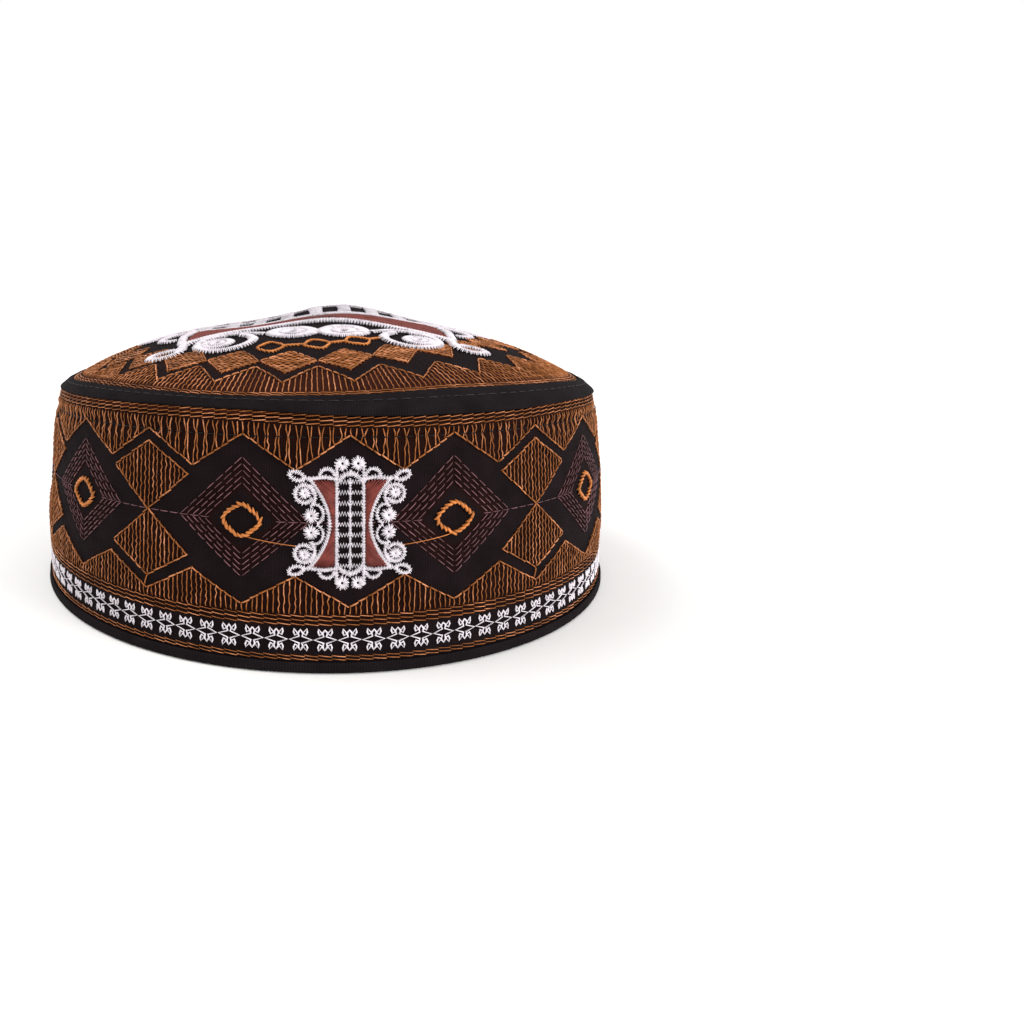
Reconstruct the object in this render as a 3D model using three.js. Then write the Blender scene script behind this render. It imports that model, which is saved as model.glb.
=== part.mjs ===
// A songkok: a brimless cap of stiffened black cloth with an embroidered face.
// An oval side band, a little narrower at the top, carries a low domed crown. A folded strip of black
// cloth, the top binding, covers the joint of band and crown, and a second strip, the hem binding,
// wraps the band's lower edge. The cap is open underneath and stands on the hem binding.
//
// Millimetres. +Z is up, X runs along the oval's length and the shown face is towards -Y.
// The origin is at the oval's centre, on the plane that the cap stands on.
//
// Each piece is first turned as a round ring or dish about the axis. Its cloth is then stretched from
// the circle to the oval, raised over the crown, and given the dents of a cap that has been worn.

import * as THREE from "three";

// Overall size.
const CAP_HEIGHT = 70; // from the plane it stands on to the ridge of the top binding
const RIM_HALF_LENGTH = 102; // outside of the hem binding, along X
const RIM_HALF_DEPTH = 95; // outside of the hem binding, along Y
const RIDGE_HALF_LENGTH = 94; // outside of the top binding, along X
const RIDGE_HALF_DEPTH = 87.5; // outside of the top binding, along Y

// Cloth.
const BAND_WALL = 2.2; // two layers of cloth on a stiffener
const CROWN_WALL = 1.6;
const BINDING_WALL = 0.9;
const SEAM_GAP = 0.3; // between any two pieces that are sewn together

// Crown.
const CROWN_RISE = 16.2; // of the dome over its rim
const CROWN_POWER = 2.9; // 2 is a plain bowl, more is flatter in the middle and steeper at the rim
const CROWN_RIM_ROUND = 1.4; // radius of the turned cloth at the crown's rim
const PEAK_RISE = 5.9; // of the soft point that folding the cap flat has left in its middle
const PEAK_REACH = 24;
const PEAK_PLACE = [5, 4]; // seen from above

// Bindings.
const TOP_BINDING_DROP = 2.8; // below the ridge, on the band
const TOP_BINDING_COVER = 4.8; // in from the band's face, on the crown
const HEM_BINDING_RISE = 3; // outside, on the band
const HEM_BINDING_INSIDE = 6; // inside, on the band
const HEM_ROUND = 0.7; // radius of the hem binding's two lower corners

// Wear: the two ends of the oval sink at the top and lean in, which makes soft shoulders.
const SIDE_DIP = 4.2; // how far the top edge sinks
const SHOULDER_LEAN = 2.5; // how far the top edge leans in
const SHOULDER_REACH = 16; // how far down the lean starts
const SHOULDER_SPREAD = 8; // the higher, the closer to the ends the lean is held

// Soft dents in the band. The turn is measured from the shown face towards +X, the level and its
// reach are shares of the cap's height, and a negative depth is a bulge.
const BAND_DENTS = [
  { turn: 78, span: 30, level: 0.75, reach: 0.2, depth: -0.5 },
  { turn: 80, span: 30, level: 0.38, reach: 0.3, depth: -1.4 },
  { turn: -80, span: 30, level: 0.75, reach: 0.2, depth: -0.7 },
  { turn: -80, span: 30, level: 0.3, reach: 0.25, depth: -1.7 },
  { turn: 8, span: 30, level: 0.5, reach: 0.3, depth: -0.5 },
  { turn: 150, span: 34, level: 0.55, reach: 0.3, depth: 0.9 },
  { turn: -140, span: 30, level: 0.5, reach: 0.25, depth: -0.7 },
];

// Soft dents in the crown. Along and across are shares of the ridge's half length and half depth,
// and a negative depth is a swelling.
const CROWN_DENTS = [
  { along: -0.3, across: -0.1, span: 0.2, depth: 1.2 },
  { along: 0.5, across: 0.45, span: 0.28, depth: -1 },
  { along: -0.55, across: 0.4, span: 0.25, depth: 0.5 },
];

// Fineness of the facets.
const STATIONS = 80; // around the oval
const BAND_LEVELS = 9;
const CROWN_RINGS = 12;
const ROUND_STEPS = 3; // for each quarter turn of a rounded corner

// What follows from the sizes above.
const BINDING_STAND = SEAM_GAP + BINDING_WALL;
const BAND_BASE = BINDING_STAND;
const CROWN_RIM_TOP = CAP_HEIGHT - BINDING_STAND;
const BAND_TOP = CROWN_RIM_TOP - CROWN_WALL - SEAM_GAP;
const FACE_RADIUS = (RIM_HALF_LENGTH + RIDGE_HALF_DEPTH) / 2; // of the round shape, before it is stretched

const clamp01 = (value) => Math.min(1, Math.max(0, value));
const bump = (distance) => Math.exp(-distance * distance);

// Half length and half depth of the band's outer face at a height.
function faceSize(height) {
  const share = clamp01(height / CAP_HEIGHT);
  return {
    length: THREE.MathUtils.lerp(RIM_HALF_LENGTH, RIDGE_HALF_LENGTH, share) - BINDING_STAND,
    depth: THREE.MathUtils.lerp(RIM_HALF_DEPTH, RIDGE_HALF_DEPTH, share) - BINDING_STAND,
  };
}

// How far the crown stands over its rim, at a place seen from above.
function crownRise(x, y) {
  const { length, depth } = faceSize(CAP_HEIGHT);
  const along = x / length;
  const across = y / depth;
  const share = Math.min(1, Math.hypot(along, across));
  const peak = PEAK_RISE * bump(Math.hypot(x - PEAK_PLACE[0], y - PEAK_PLACE[1]) / PEAK_REACH);
  const dents = CROWN_DENTS.reduce(
    (sum, dent) => sum + dent.depth * bump(Math.hypot(along - dent.along, across - dent.across) / dent.span),
    0,
  );
  return CROWN_RISE * (1 - share ** CROWN_POWER) + (peak - dents) * (1 - share * share);
}

// How far the band is pushed in at a turn and a height.
function bandDent(turn, height) {
  const level = height / CAP_HEIGHT;
  const held = Math.sin(Math.PI * clamp01(level)); // both edges are held by their bindings
  return BAND_DENTS.reduce((sum, dent) => {
    const around = THREE.MathUtils.euclideanModulo(THREE.MathUtils.radToDeg(turn) - dent.turn + 180, 360) - 180;
    return sum + held * dent.depth * bump(around / dent.span) * bump((level - dent.level) / dent.reach);
  }, 0);
}

// The share of its distance from the axis that a point keeps where a shoulder leans in.
function shoulder(turn, height) {
  const level = clamp01((height - CAP_HEIGHT + SHOULDER_REACH) / SHOULDER_REACH);
  const lean = SHOULDER_LEAN * Math.abs(Math.sin(turn)) ** SHOULDER_SPREAD * level * level;
  return 1 - lean / FACE_RADIUS;
}

// Turns a closed profile of (distance out from the band's face, height) about the axis and stretches
// it to the oval. A piece that lies on the crown is raised with it.
function ovalRing(profile, liesOnCrown) {
  const points = profile.map(([out, height]) => new THREE.Vector2(FACE_RADIUS + out, height));
  const geometry = new THREE.LatheGeometry(points, STATIONS);
  const place = geometry.getAttribute("position");
  for (let i = 0; i < place.count; i += 1) {
    const height = place.getY(i);
    const turn = Math.atan2(place.getX(i), place.getZ(i));
    const radius = Math.hypot(place.getX(i), place.getZ(i)) - bandDent(turn, height);
    const face = faceSize(height);
    const x = (radius * Math.sin(turn) * face.length) / FACE_RADIUS;
    const y = (-radius * Math.cos(turn) * face.depth) / FACE_RADIUS;
    const raised = height + (liesOnCrown ? crownRise(x, y) : 0);
    const dip = SIDE_DIP * (Math.abs(x) / RIM_HALF_LENGTH) ** 3 * (height / CAP_HEIGHT) ** 3;
    const kept = shoulder(turn, height);
    place.setXYZ(i, x * kept, y * kept, raised - dip);
  }
  return geometry;
}

// Points of a round corner, from one angle to another in degrees, about a centre.
function corner([out, height], radius, from, to) {
  const points = [];
  for (let step = 0; step <= ROUND_STEPS; step += 1) {
    const angle = THREE.MathUtils.degToRad(from + ((to - from) * step) / ROUND_STEPS);
    points.push([out + radius * Math.cos(angle), height + radius * Math.sin(angle)]);
  }
  return points;
}

// Points that divide a straight stretch of a profile, without its two ends.
function between([outA, heightA], [outB, heightB], pieces) {
  const points = [];
  for (let step = 1; step < pieces; step += 1) {
    const share = step / pieces;
    points.push([THREE.MathUtils.lerp(outA, outB, share), THREE.MathUtils.lerp(heightA, heightB, share)]);
  }
  return points;
}

function clothMesh(name, geometry, color, roughness) {
  const mesh = new THREE.Mesh(geometry, new THREE.MeshStandardMaterial({ color, roughness, metalness: 0 }));
  mesh.name = name;
  return mesh;
}

// The side wall that carries most of the embroidery.
function sideBand() {
  const outerLow = [0, BAND_BASE];
  const outerHigh = [0, BAND_TOP];
  const innerHigh = [-BAND_WALL, BAND_TOP];
  const innerLow = [-BAND_WALL, BAND_BASE];
  const profile = [
    outerLow,
    ...between(outerLow, outerHigh, BAND_LEVELS),
    outerHigh,
    innerHigh,
    ...between(innerHigh, innerLow, BAND_LEVELS),
    innerLow,
    outerLow,
  ];
  return clothMesh("side_band", ovalRing(profile, false), 0x7a4a22, 0.85);
}

// The domed top, whose rim lies on the band's upper edge.
function crown() {
  const roundCentre = [-CROWN_RIM_ROUND, CROWN_RIM_TOP - CROWN_RIM_ROUND];
  const rimEnd = [-CROWN_RIM_ROUND, CROWN_RIM_TOP];
  const rimUnder = [0, CROWN_RIM_TOP - CROWN_WALL];
  const apexTop = [-FACE_RADIUS, CROWN_RIM_TOP];
  const apexUnder = [-FACE_RADIUS, CROWN_RIM_TOP - CROWN_WALL];
  const coverEnd = [-TOP_BINDING_COVER, CROWN_RIM_TOP];
  const profile = [
    apexUnder,
    ...between(apexUnder, rimUnder, CROWN_RINGS),
    rimUnder,
    ...corner(roundCentre, CROWN_RIM_ROUND, 0, 90),
    ...between(rimEnd, coverEnd, 2),
    coverEnd,
    ...between(coverEnd, apexTop, CROWN_RINGS),
    apexTop,
  ];
  return clothMesh("crown", ovalRing(profile, true), 0x8a5526, 0.85);
}

// The strip that is folded over the joint of band and crown.
function topBinding() {
  const roundCentre = [-CROWN_RIM_ROUND, CROWN_RIM_TOP - CROWN_RIM_ROUND];
  const innerRound = CROWN_RIM_ROUND + SEAM_GAP;
  const outerRound = innerRound + BINDING_WALL;
  const legEnd = CAP_HEIGHT - TOP_BINDING_DROP;
  const outerRoofStart = [-CROWN_RIM_ROUND, CAP_HEIGHT];
  const outerRoofEnd = [-TOP_BINDING_COVER, CAP_HEIGHT];
  const innerRoofEnd = [-TOP_BINDING_COVER, CAP_HEIGHT - BINDING_WALL];
  const innerRoofStart = [-CROWN_RIM_ROUND, CAP_HEIGHT - BINDING_WALL];
  const profile = [
    [BINDING_STAND, legEnd],
    ...corner(roundCentre, outerRound, 0, 90),
    ...between(outerRoofStart, outerRoofEnd, 2),
    outerRoofEnd,
    innerRoofEnd,
    ...between(innerRoofEnd, innerRoofStart, 2),
    ...corner(roundCentre, innerRound, 90, 0),
    [SEAM_GAP, legEnd],
    [BINDING_STAND, legEnd],
  ];
  return clothMesh("top_binding", ovalRing(profile, true), 0x17151a, 0.7);
}

// The strip that wraps the band's lower edge, flat underneath where the cap stands.
function hemBinding() {
  const outerFace = BINDING_STAND;
  const innerFace = -BAND_WALL - BINDING_STAND;
  const profile = [
    ...corner([innerFace + HEM_ROUND, HEM_ROUND], HEM_ROUND, 180, 270),
    ...corner([outerFace - HEM_ROUND, HEM_ROUND], HEM_ROUND, 270, 360),
    [outerFace, HEM_BINDING_RISE],
    [outerFace - BINDING_WALL, HEM_BINDING_RISE],
    [outerFace - BINDING_WALL, BINDING_WALL],
    [innerFace + BINDING_WALL, BINDING_WALL],
    [innerFace + BINDING_WALL, HEM_BINDING_INSIDE],
    [innerFace, HEM_BINDING_INSIDE],
    [innerFace, HEM_ROUND],
  ];
  return clothMesh("hem_binding", ovalRing(profile, false), 0x17151a, 0.7);
}

const songkok = new THREE.Group();
songkok.add(sideBand(), crown(), topBinding(), hemBinding());

export default songkok;
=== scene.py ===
"""A songkok, an embroidered cap of stiffened black cloth, modelled down to its single threads.

Sizes in the code are millimetres and become metres where a mesh is placed, apart from the stage's,
which are metres. The cap stands on the floor, its length lies along X and its shown face looks
towards -Y.
"""

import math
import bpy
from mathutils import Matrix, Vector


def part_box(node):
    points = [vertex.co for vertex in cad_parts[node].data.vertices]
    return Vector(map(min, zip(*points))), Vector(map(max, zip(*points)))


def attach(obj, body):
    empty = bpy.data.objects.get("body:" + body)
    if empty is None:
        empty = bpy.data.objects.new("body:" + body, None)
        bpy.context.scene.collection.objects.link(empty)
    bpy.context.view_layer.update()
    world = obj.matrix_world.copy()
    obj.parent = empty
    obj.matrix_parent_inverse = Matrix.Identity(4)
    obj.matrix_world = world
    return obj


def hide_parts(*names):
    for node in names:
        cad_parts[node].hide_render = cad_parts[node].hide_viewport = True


bl_info = {
    "name": "Songkok",
    "version": (1, 0, 0),
    "blender": (4, 5, 0),
    "location": "3D View > Sidebar > Songkok",
    "description": "Models an embroidered songkok and its photographic stage",
    "category": "Add Mesh",
}

import bmesh
import bpy
import numpy as np

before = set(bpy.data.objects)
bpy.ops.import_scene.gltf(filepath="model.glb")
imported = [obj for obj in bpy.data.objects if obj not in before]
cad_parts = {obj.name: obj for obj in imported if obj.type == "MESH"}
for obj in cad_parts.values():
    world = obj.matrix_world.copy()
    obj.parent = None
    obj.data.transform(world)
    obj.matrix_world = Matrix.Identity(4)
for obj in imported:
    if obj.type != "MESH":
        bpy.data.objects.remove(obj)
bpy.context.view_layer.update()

MM = 0.001


def hex_colour(code):
    """An sRGB hex value as the linear colour that Blender works in."""
    channels = [int(code[i : i + 2], 16) / 255 for i in (1, 3, 5)]
    linear = [c / 12.92 if c <= 0.04045 else ((c + 0.055) / 1.055) ** 2.4 for c in channels]
    return (*linear, 1.0)


def length_property(name, description, default_mm):
    """A size that the user can change, given in millimetres and kept in metres."""
    return bpy.props.FloatProperty(
        name=name, description=description, default=default_mm * MM, unit="LENGTH", precision=4
    )


def colour_property(name, description, code):
    """A colour that the user can change."""
    return bpy.props.FloatVectorProperty(
        name=name,
        description=description,
        default=hex_colour(code),
        size=4,
        min=0.0,
        max=1.0,
        subtype="COLOR",
    )


HEM_LOW, HEM_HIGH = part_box("hem_binding")


class SongkokSizes(bpy.types.PropertyGroup):
    """Sizes of the cap's cloth. They are those of its solids."""

    height: length_property("Height", "From the floor to the top binding's ridge", 70)
    rim_half_length: length_property("Rim half length", "Outside, along X", HEM_HIGH[0] / MM)
    rim_half_depth: length_property("Rim half depth", "Outside, along Y", -HEM_LOW[1] / MM)
    ridge_half_length: length_property("Ridge half length", "Outside, along X", 94)
    ridge_half_depth: length_property("Ridge half depth", "Outside, along Y", 87.5)
    band_wall: length_property("Band wall", "Two layers of cloth on a stiffener", 2.2)
    crown_wall: length_property("Crown wall", "Thickness of the crown", 1.6)
    binding_wall: length_property("Binding wall", "Thickness of the folded strips", 0.9)
    seam_gap: length_property("Seam gap", "Between pieces that are sewn together", 0.3)
    crown_rise: length_property("Crown rise", "Height of the dome over its rim", 16.2)
    crown_power: bpy.props.FloatProperty(
        name="Crown power", description="2 is a plain bowl, more is flatter in the middle", default=2.9
    )
    crown_rim_round: length_property("Crown rim round", "Radius of the crown's turned rim", 1.4)
    peak_rise: length_property("Peak rise", "Of the soft point that folding the cap flat has left", 5.9)
    peak_reach: length_property("Peak reach", "How far that point spreads", 24)
    peak_along: length_property("Peak along", "Its place from the middle, towards +X", 5)
    peak_across: length_property("Peak across", "Its place from the middle, towards +Y", 4)
    hem_binding_rise: length_property("Hem binding rise", "Outside, on the band", 3)
    hem_binding_inside: length_property("Hem binding inside", "Inside, on the band", 6)
    hem_round: length_property("Hem round", "Radius of the hem binding's corners", 0.7)
    side_dip: length_property("Side dip", "How far the top edge sinks at the oval's ends", 4.2)
    shoulder_lean: length_property("Shoulder lean", "How far the top edge leans in at those ends", 2.5)
    shoulder_reach: length_property("Shoulder reach", "How far down the lean starts", 16)
    shoulder_spread: bpy.props.FloatProperty(
        name="Shoulder spread", description="The higher, the closer to the ends the lean is held", default=8
    )


class SongkokPattern(bpy.types.PropertyGroup):
    """Sizes and counts of the embroidery."""

    medallion_shift: length_property("Medallion shift", "From the middle, towards +X", 6.2)
    medallion_height: length_property("Medallion height", "Of the lace medallion's middle", 40)
    pitch: length_property("Pitch", "From the medallion to the next diamond", 28)
    star_count: bpy.props.IntProperty(name="Stars", description="Round the lower edge", default=94)
    star_height: length_property("Star height", "Of the star row's middle over the floor", 9)
    fill_spacing: length_property("Fill spacing", "Between the lines of a filling", 1.4)
    chain_spacing: length_property("Chain spacing", "Between the lines in the crown's chain", 1.1)
    crown_units: bpy.props.IntProperty(
        name="Crown units", description="Points of the zigzag round the crown", default=27
    )
    crown_lace_scale: bpy.props.FloatProperty(
        name="Crown lace scale", description="Of the crown's medallion to the band's", default=3.65
    )


class SongkokColours(bpy.types.PropertyGroup):
    """Colours of cloth, thread and floor."""

    cloth: colour_property("Cloth", "Black drill", "#181012")
    ground: colour_property("Ground", "The cloth between the lines of a filling", "#1E0C08")
    # The crown's ground is redder than the band's and also lighter; the lightening is painted light on the
    # crown's upturned face.
    lit_crown_ground: colour_property("Crown ground", "The same on the crown, where it is redder", "#36180F")
    binding: colour_property("Binding", "Black strips", "#191416")
    gold: colour_property("Gold", "Thread of fillings, outlines and rows", "#965829")
    rope: colour_property("Rope", "Thicker thread of the small rings", "#BD733A")
    plum: colour_property("Plum", "Thread of the nested diamonds", "#664449")
    white: colour_property("White", "Thread of lace and stars", "#E4DCE2")
    red: colour_property("Red", "Satin between the lace", "#733630")
    dark: colour_property("Dark", "Sewing thread of the seams", "#141214")
    floor: colour_property("Floor", "Pale studio floor", "#F2F1EF")


# Soft dents in the band. The turn and the span are degrees, measured from the shown face towards
# +X, the level and its reach are shares of the cap's height, and a negative depth is a bulge.
BAND_DENTS = (
    {"turn": 78, "span": 30, "level": 0.75, "reach": 0.2, "depth": -0.5},
    {"turn": 80, "span": 30, "level": 0.38, "reach": 0.3, "depth": -1.4},
    {"turn": -80, "span": 30, "level": 0.75, "reach": 0.2, "depth": -0.7},
    {"turn": -80, "span": 30, "level": 0.3, "reach": 0.25, "depth": -1.7},
    {"turn": 8, "span": 30, "level": 0.5, "reach": 0.3, "depth": -0.5},
    {"turn": 150, "span": 34, "level": 0.55, "reach": 0.3, "depth": 0.9},
    {"turn": -140, "span": 30, "level": 0.5, "reach": 0.25, "depth": -0.7},
)

# Soft dents in the crown. Along, across and span are shares of its half length and half depth, and
# a negative depth is a swelling.
CROWN_DENTS = (
    {"along": -0.3, "across": -0.1, "span": 0.2, "depth": 1.2},
    {"along": 0.5, "across": 0.45, "span": 0.28, "depth": -1},
    {"along": -0.55, "across": 0.4, "span": 0.25, "depth": 0.5},
)

# The top binding is sewn by hand, so its two edges wander. Low is the height of the lower edge in
# millimetres and cover is how far the upper edge lies in from the band's face.
BINDING_EDGES = (
    {"turn": -180, "low": 67.6, "cover": 4.6},
    {"turn": -110, "low": 68.2, "cover": 3.8},
    {"turn": -61, "low": 68.6, "cover": 3.5},
    {"turn": -48, "low": 68.6, "cover": 4.2},
    {"turn": -36, "low": 68.6, "cover": 3.8},
    {"turn": -22, "low": 68.6, "cover": 3.1},
    {"turn": -12, "low": 68.5, "cover": 3.2},
    {"turn": -4, "low": 67.9, "cover": 3.8},
    {"turn": 4, "low": 67.3, "cover": 4.3},
    {"turn": 12, "low": 67.1, "cover": 5.3},
    {"turn": 22, "low": 67.1, "cover": 6.4},
    {"turn": 33, "low": 67.3, "cover": 6.4},
    {"turn": 42, "low": 67.9, "cover": 6.1},
    {"turn": 52, "low": 68.2, "cover": 5.6},
    {"turn": 68, "low": 67.8, "cover": 4.0},
    {"turn": 110, "low": 67.6, "cover": 4.4},
    {"turn": 180, "low": 67.6, "cover": 4.6},
)


class Form:
    """The cap's shape in millimetres, worked out from its sizes in the way of its solids."""

    TURN_STEPS = 2880  # in the table of arc lengths round the band
    GIRTH_LEVEL = 0.57  # share of the height at which the girth is measured
    SLOPE_STEP = 0.5  # over which the crown's slope is measured
    ROUND_END = 0.98  # share of the crown rim's round up to which stitches lie

    def __init__(self, sizes):
        self.height = sizes.height / MM
        self.rim = (sizes.rim_half_length / MM, sizes.rim_half_depth / MM)
        self.ridge = (sizes.ridge_half_length / MM, sizes.ridge_half_depth / MM)
        self.band_wall = sizes.band_wall / MM
        self.crown_wall = sizes.crown_wall / MM
        self.binding_wall = sizes.binding_wall / MM
        self.seam_gap = sizes.seam_gap / MM
        self.crown_rise = sizes.crown_rise / MM
        self.crown_power = sizes.crown_power
        self.crown_rim_round = sizes.crown_rim_round / MM
        self.peak_rise = sizes.peak_rise / MM
        self.peak_reach = sizes.peak_reach / MM
        self.peak_place = (sizes.peak_along / MM, sizes.peak_across / MM)
        self.hem_binding_rise = sizes.hem_binding_rise / MM
        self.hem_binding_inside = sizes.hem_binding_inside / MM
        self.hem_round = sizes.hem_round / MM
        self.side_dip = sizes.side_dip / MM
        self.shoulder_lean = sizes.shoulder_lean / MM
        self.shoulder_reach = sizes.shoulder_reach / MM
        self.shoulder_spread = sizes.shoulder_spread

        self.stand = self.seam_gap + self.binding_wall
        self.crown_rim_top = self.height - self.stand
        self.band_top = self.crown_rim_top - self.crown_wall - self.seam_gap
        self.face_radius = (self.rim[0] + self.ridge[1]) / 2
        self.crown_half = self.face(self.height)

        # Arc lengths round the band, from which a place along it gives its turn.
        self.turns = np.linspace(-math.pi, math.pi, self.TURN_STEPS + 1)
        ring = self.place(self.turns, 0.0, self.GIRTH_LEVEL * self.height)[:, :2]
        steps = np.linalg.norm(np.diff(ring, axis=0), axis=1)
        arcs = np.concatenate([[0.0], np.cumsum(steps)])
        self.arcs = arcs - arcs[len(arcs) // 2]
        self.girth = arcs[-1]

    def face(self, height):
        """Half length and half depth of the band's outer face at a height."""
        share = np.clip(height / self.height, 0.0, 1.0)
        return [low + (high - low) * share - self.stand for low, high in zip(self.rim, self.ridge)]

    def rise_at(self, x, y):
        """How far the crown stands over its rim, at a place seen from above."""
        along, across = x / self.crown_half[0], y / self.crown_half[1]
        share = np.minimum(1.0, np.hypot(along, across))
        from_peak = np.hypot(x - self.peak_place[0], y - self.peak_place[1]) / self.peak_reach
        swelling = self.peak_rise * np.exp(-(from_peak**2))
        for dent in CROWN_DENTS:
            away = np.hypot(along - dent["along"], across - dent["across"]) / dent["span"]
            swelling = swelling - dent["depth"] * np.exp(-(away**2))
        return self.crown_rise * (1 - share**self.crown_power) + swelling * (1 - share**2)

    def dent_at(self, turn, height):
        """How far the band is pushed in at a turn and a height."""
        level = height / self.height
        pushed = 0.0
        for dent in BAND_DENTS:
            around = (np.degrees(turn) - dent["turn"] + 180) % 360 - 180
            away = (around / dent["span"]) ** 2 + ((level - dent["level"]) / dent["reach"]) ** 2
            pushed = pushed + dent["depth"] * np.exp(-away)
        return pushed * np.sin(math.pi * np.clip(level, 0.0, 1.0))

    def shoulder(self, turn, height):
        """The share of its distance from the axis that a point keeps where a shoulder leans in."""
        level = np.clip((height - self.height + self.shoulder_reach) / self.shoulder_reach, 0.0, 1.0)
        lean = self.shoulder_lean * np.abs(np.sin(turn)) ** self.shoulder_spread * level**2
        return 1 - lean / self.face_radius

    def dip_at(self, x, height):
        """How far a point sinks towards the oval's ends."""
        return self.side_dip * (np.abs(x) / self.rim[0]) ** 3 * (height / self.height) ** 3

    def place(self, turn, out, height, on_crown=False):
        """Points at a turn, a distance out from the band's face and a height."""
        radius = self.face_radius + out - self.dent_at(turn, height)
        length, depth = self.face(height)
        x = radius * np.sin(turn) * length / self.face_radius
        y = -radius * np.cos(turn) * depth / self.face_radius
        z = height - self.dip_at(x, height) + (self.rise_at(x, y) if on_crown else 0.0)
        kept = self.shoulder(turn, height)
        return np.stack([x * kept, y * kept, z * np.ones_like(x)], axis=-1)

    def turn_at(self, along):
        """The turn of a place along the band, in millimetres from the middle of the shown face."""
        wrapped = (np.asarray(along) + self.girth / 2) % self.girth - self.girth / 2
        return np.interp(wrapped, self.arcs, self.turns)

    def on_band(self, flat, lift):
        """Points lifted off the band's face, from places along it and their heights."""
        return self.place(self.turn_at(flat[:, 0]), lift, flat[:, 1])

    def on_crown(self, flat, lift):
        """Points lifted off the crown's face along its normal, from places seen from above."""
        x, y = flat[:, 0], flat[:, 1]
        step = self.SLOPE_STEP
        slope_x = (self.rise_at(x + step, y) - self.rise_at(x - step, y)) / (2 * step)
        slope_y = (self.rise_at(x, y + step) - self.rise_at(x, y - step)) / (2 * step)
        size = np.sqrt(1 + slope_x**2 + slope_y**2)
        top = self.crown_rim_top
        kept = self.shoulder(np.arctan2(x / self.crown_half[0], -y / self.crown_half[1]), top)
        z = top + self.rise_at(x, y) - self.dip_at(x, top)
        return np.stack(
            [x * kept - lift * slope_x / size, y * kept - lift * slope_y / size, z + lift / size], axis=-1
        )

    def binding_edge(self, name, turn):
        """The lower or the upper edge of the top binding at a turn."""
        turns = [row["turn"] for row in BINDING_EDGES]
        return np.interp(np.degrees(turn), turns, [row[name] for row in BINDING_EDGES])

    def on_rim(self, turn, height, lift):
        """Points on the band's face and, over it, on the round of the crown's rim."""
        middle = self.crown_rim_top - self.crown_rim_round
        over = np.clip((height - middle) / self.crown_rim_round, 0.0, self.ROUND_END)
        out = self.crown_rim_round * (np.sqrt(1 - over**2) - 1)
        return self.place(turn, out + lift, height, True)

    def binding_reach(self, turn):
        """How far the top binding's cloth reaches down over the rim's round, and how far in from it."""
        middle = self.crown_rim_top - self.crown_rim_round
        around = self.crown_rim_round + self.seam_gap + self.binding_wall / 2
        low, cover = self.binding_edge("low", turn), self.binding_edge("cover", turn)
        down = np.where(
            low < middle,
            middle - low + around * math.pi / 2,
            around * np.arccos(np.clip((low - middle) / around, 0.0, 1.0)),
        )
        return down, cover - self.crown_rim_round

    def on_binding(self, turn, share, above):
        """Points of the top binding, at a share of the way from its lower to its upper edge and at a
        distance from its underside."""
        middle = self.crown_rim_top - self.crown_rim_round
        around = self.crown_rim_round + self.seam_gap + self.binding_wall / 2
        down, inward = self.binding_reach(turn)
        along = share * (down + inward) - down
        lean = np.clip(-along / around, 0.0, math.pi / 2)
        leg = np.maximum(0.0, -along - around * math.pi / 2)
        radius = self.crown_rim_round + self.seam_gap + above
        out = radius * np.sin(lean) - self.crown_rim_round - np.maximum(0.0, along)
        return self.place(turn, out, middle + radius * np.cos(lean) - leg, True)


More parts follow.
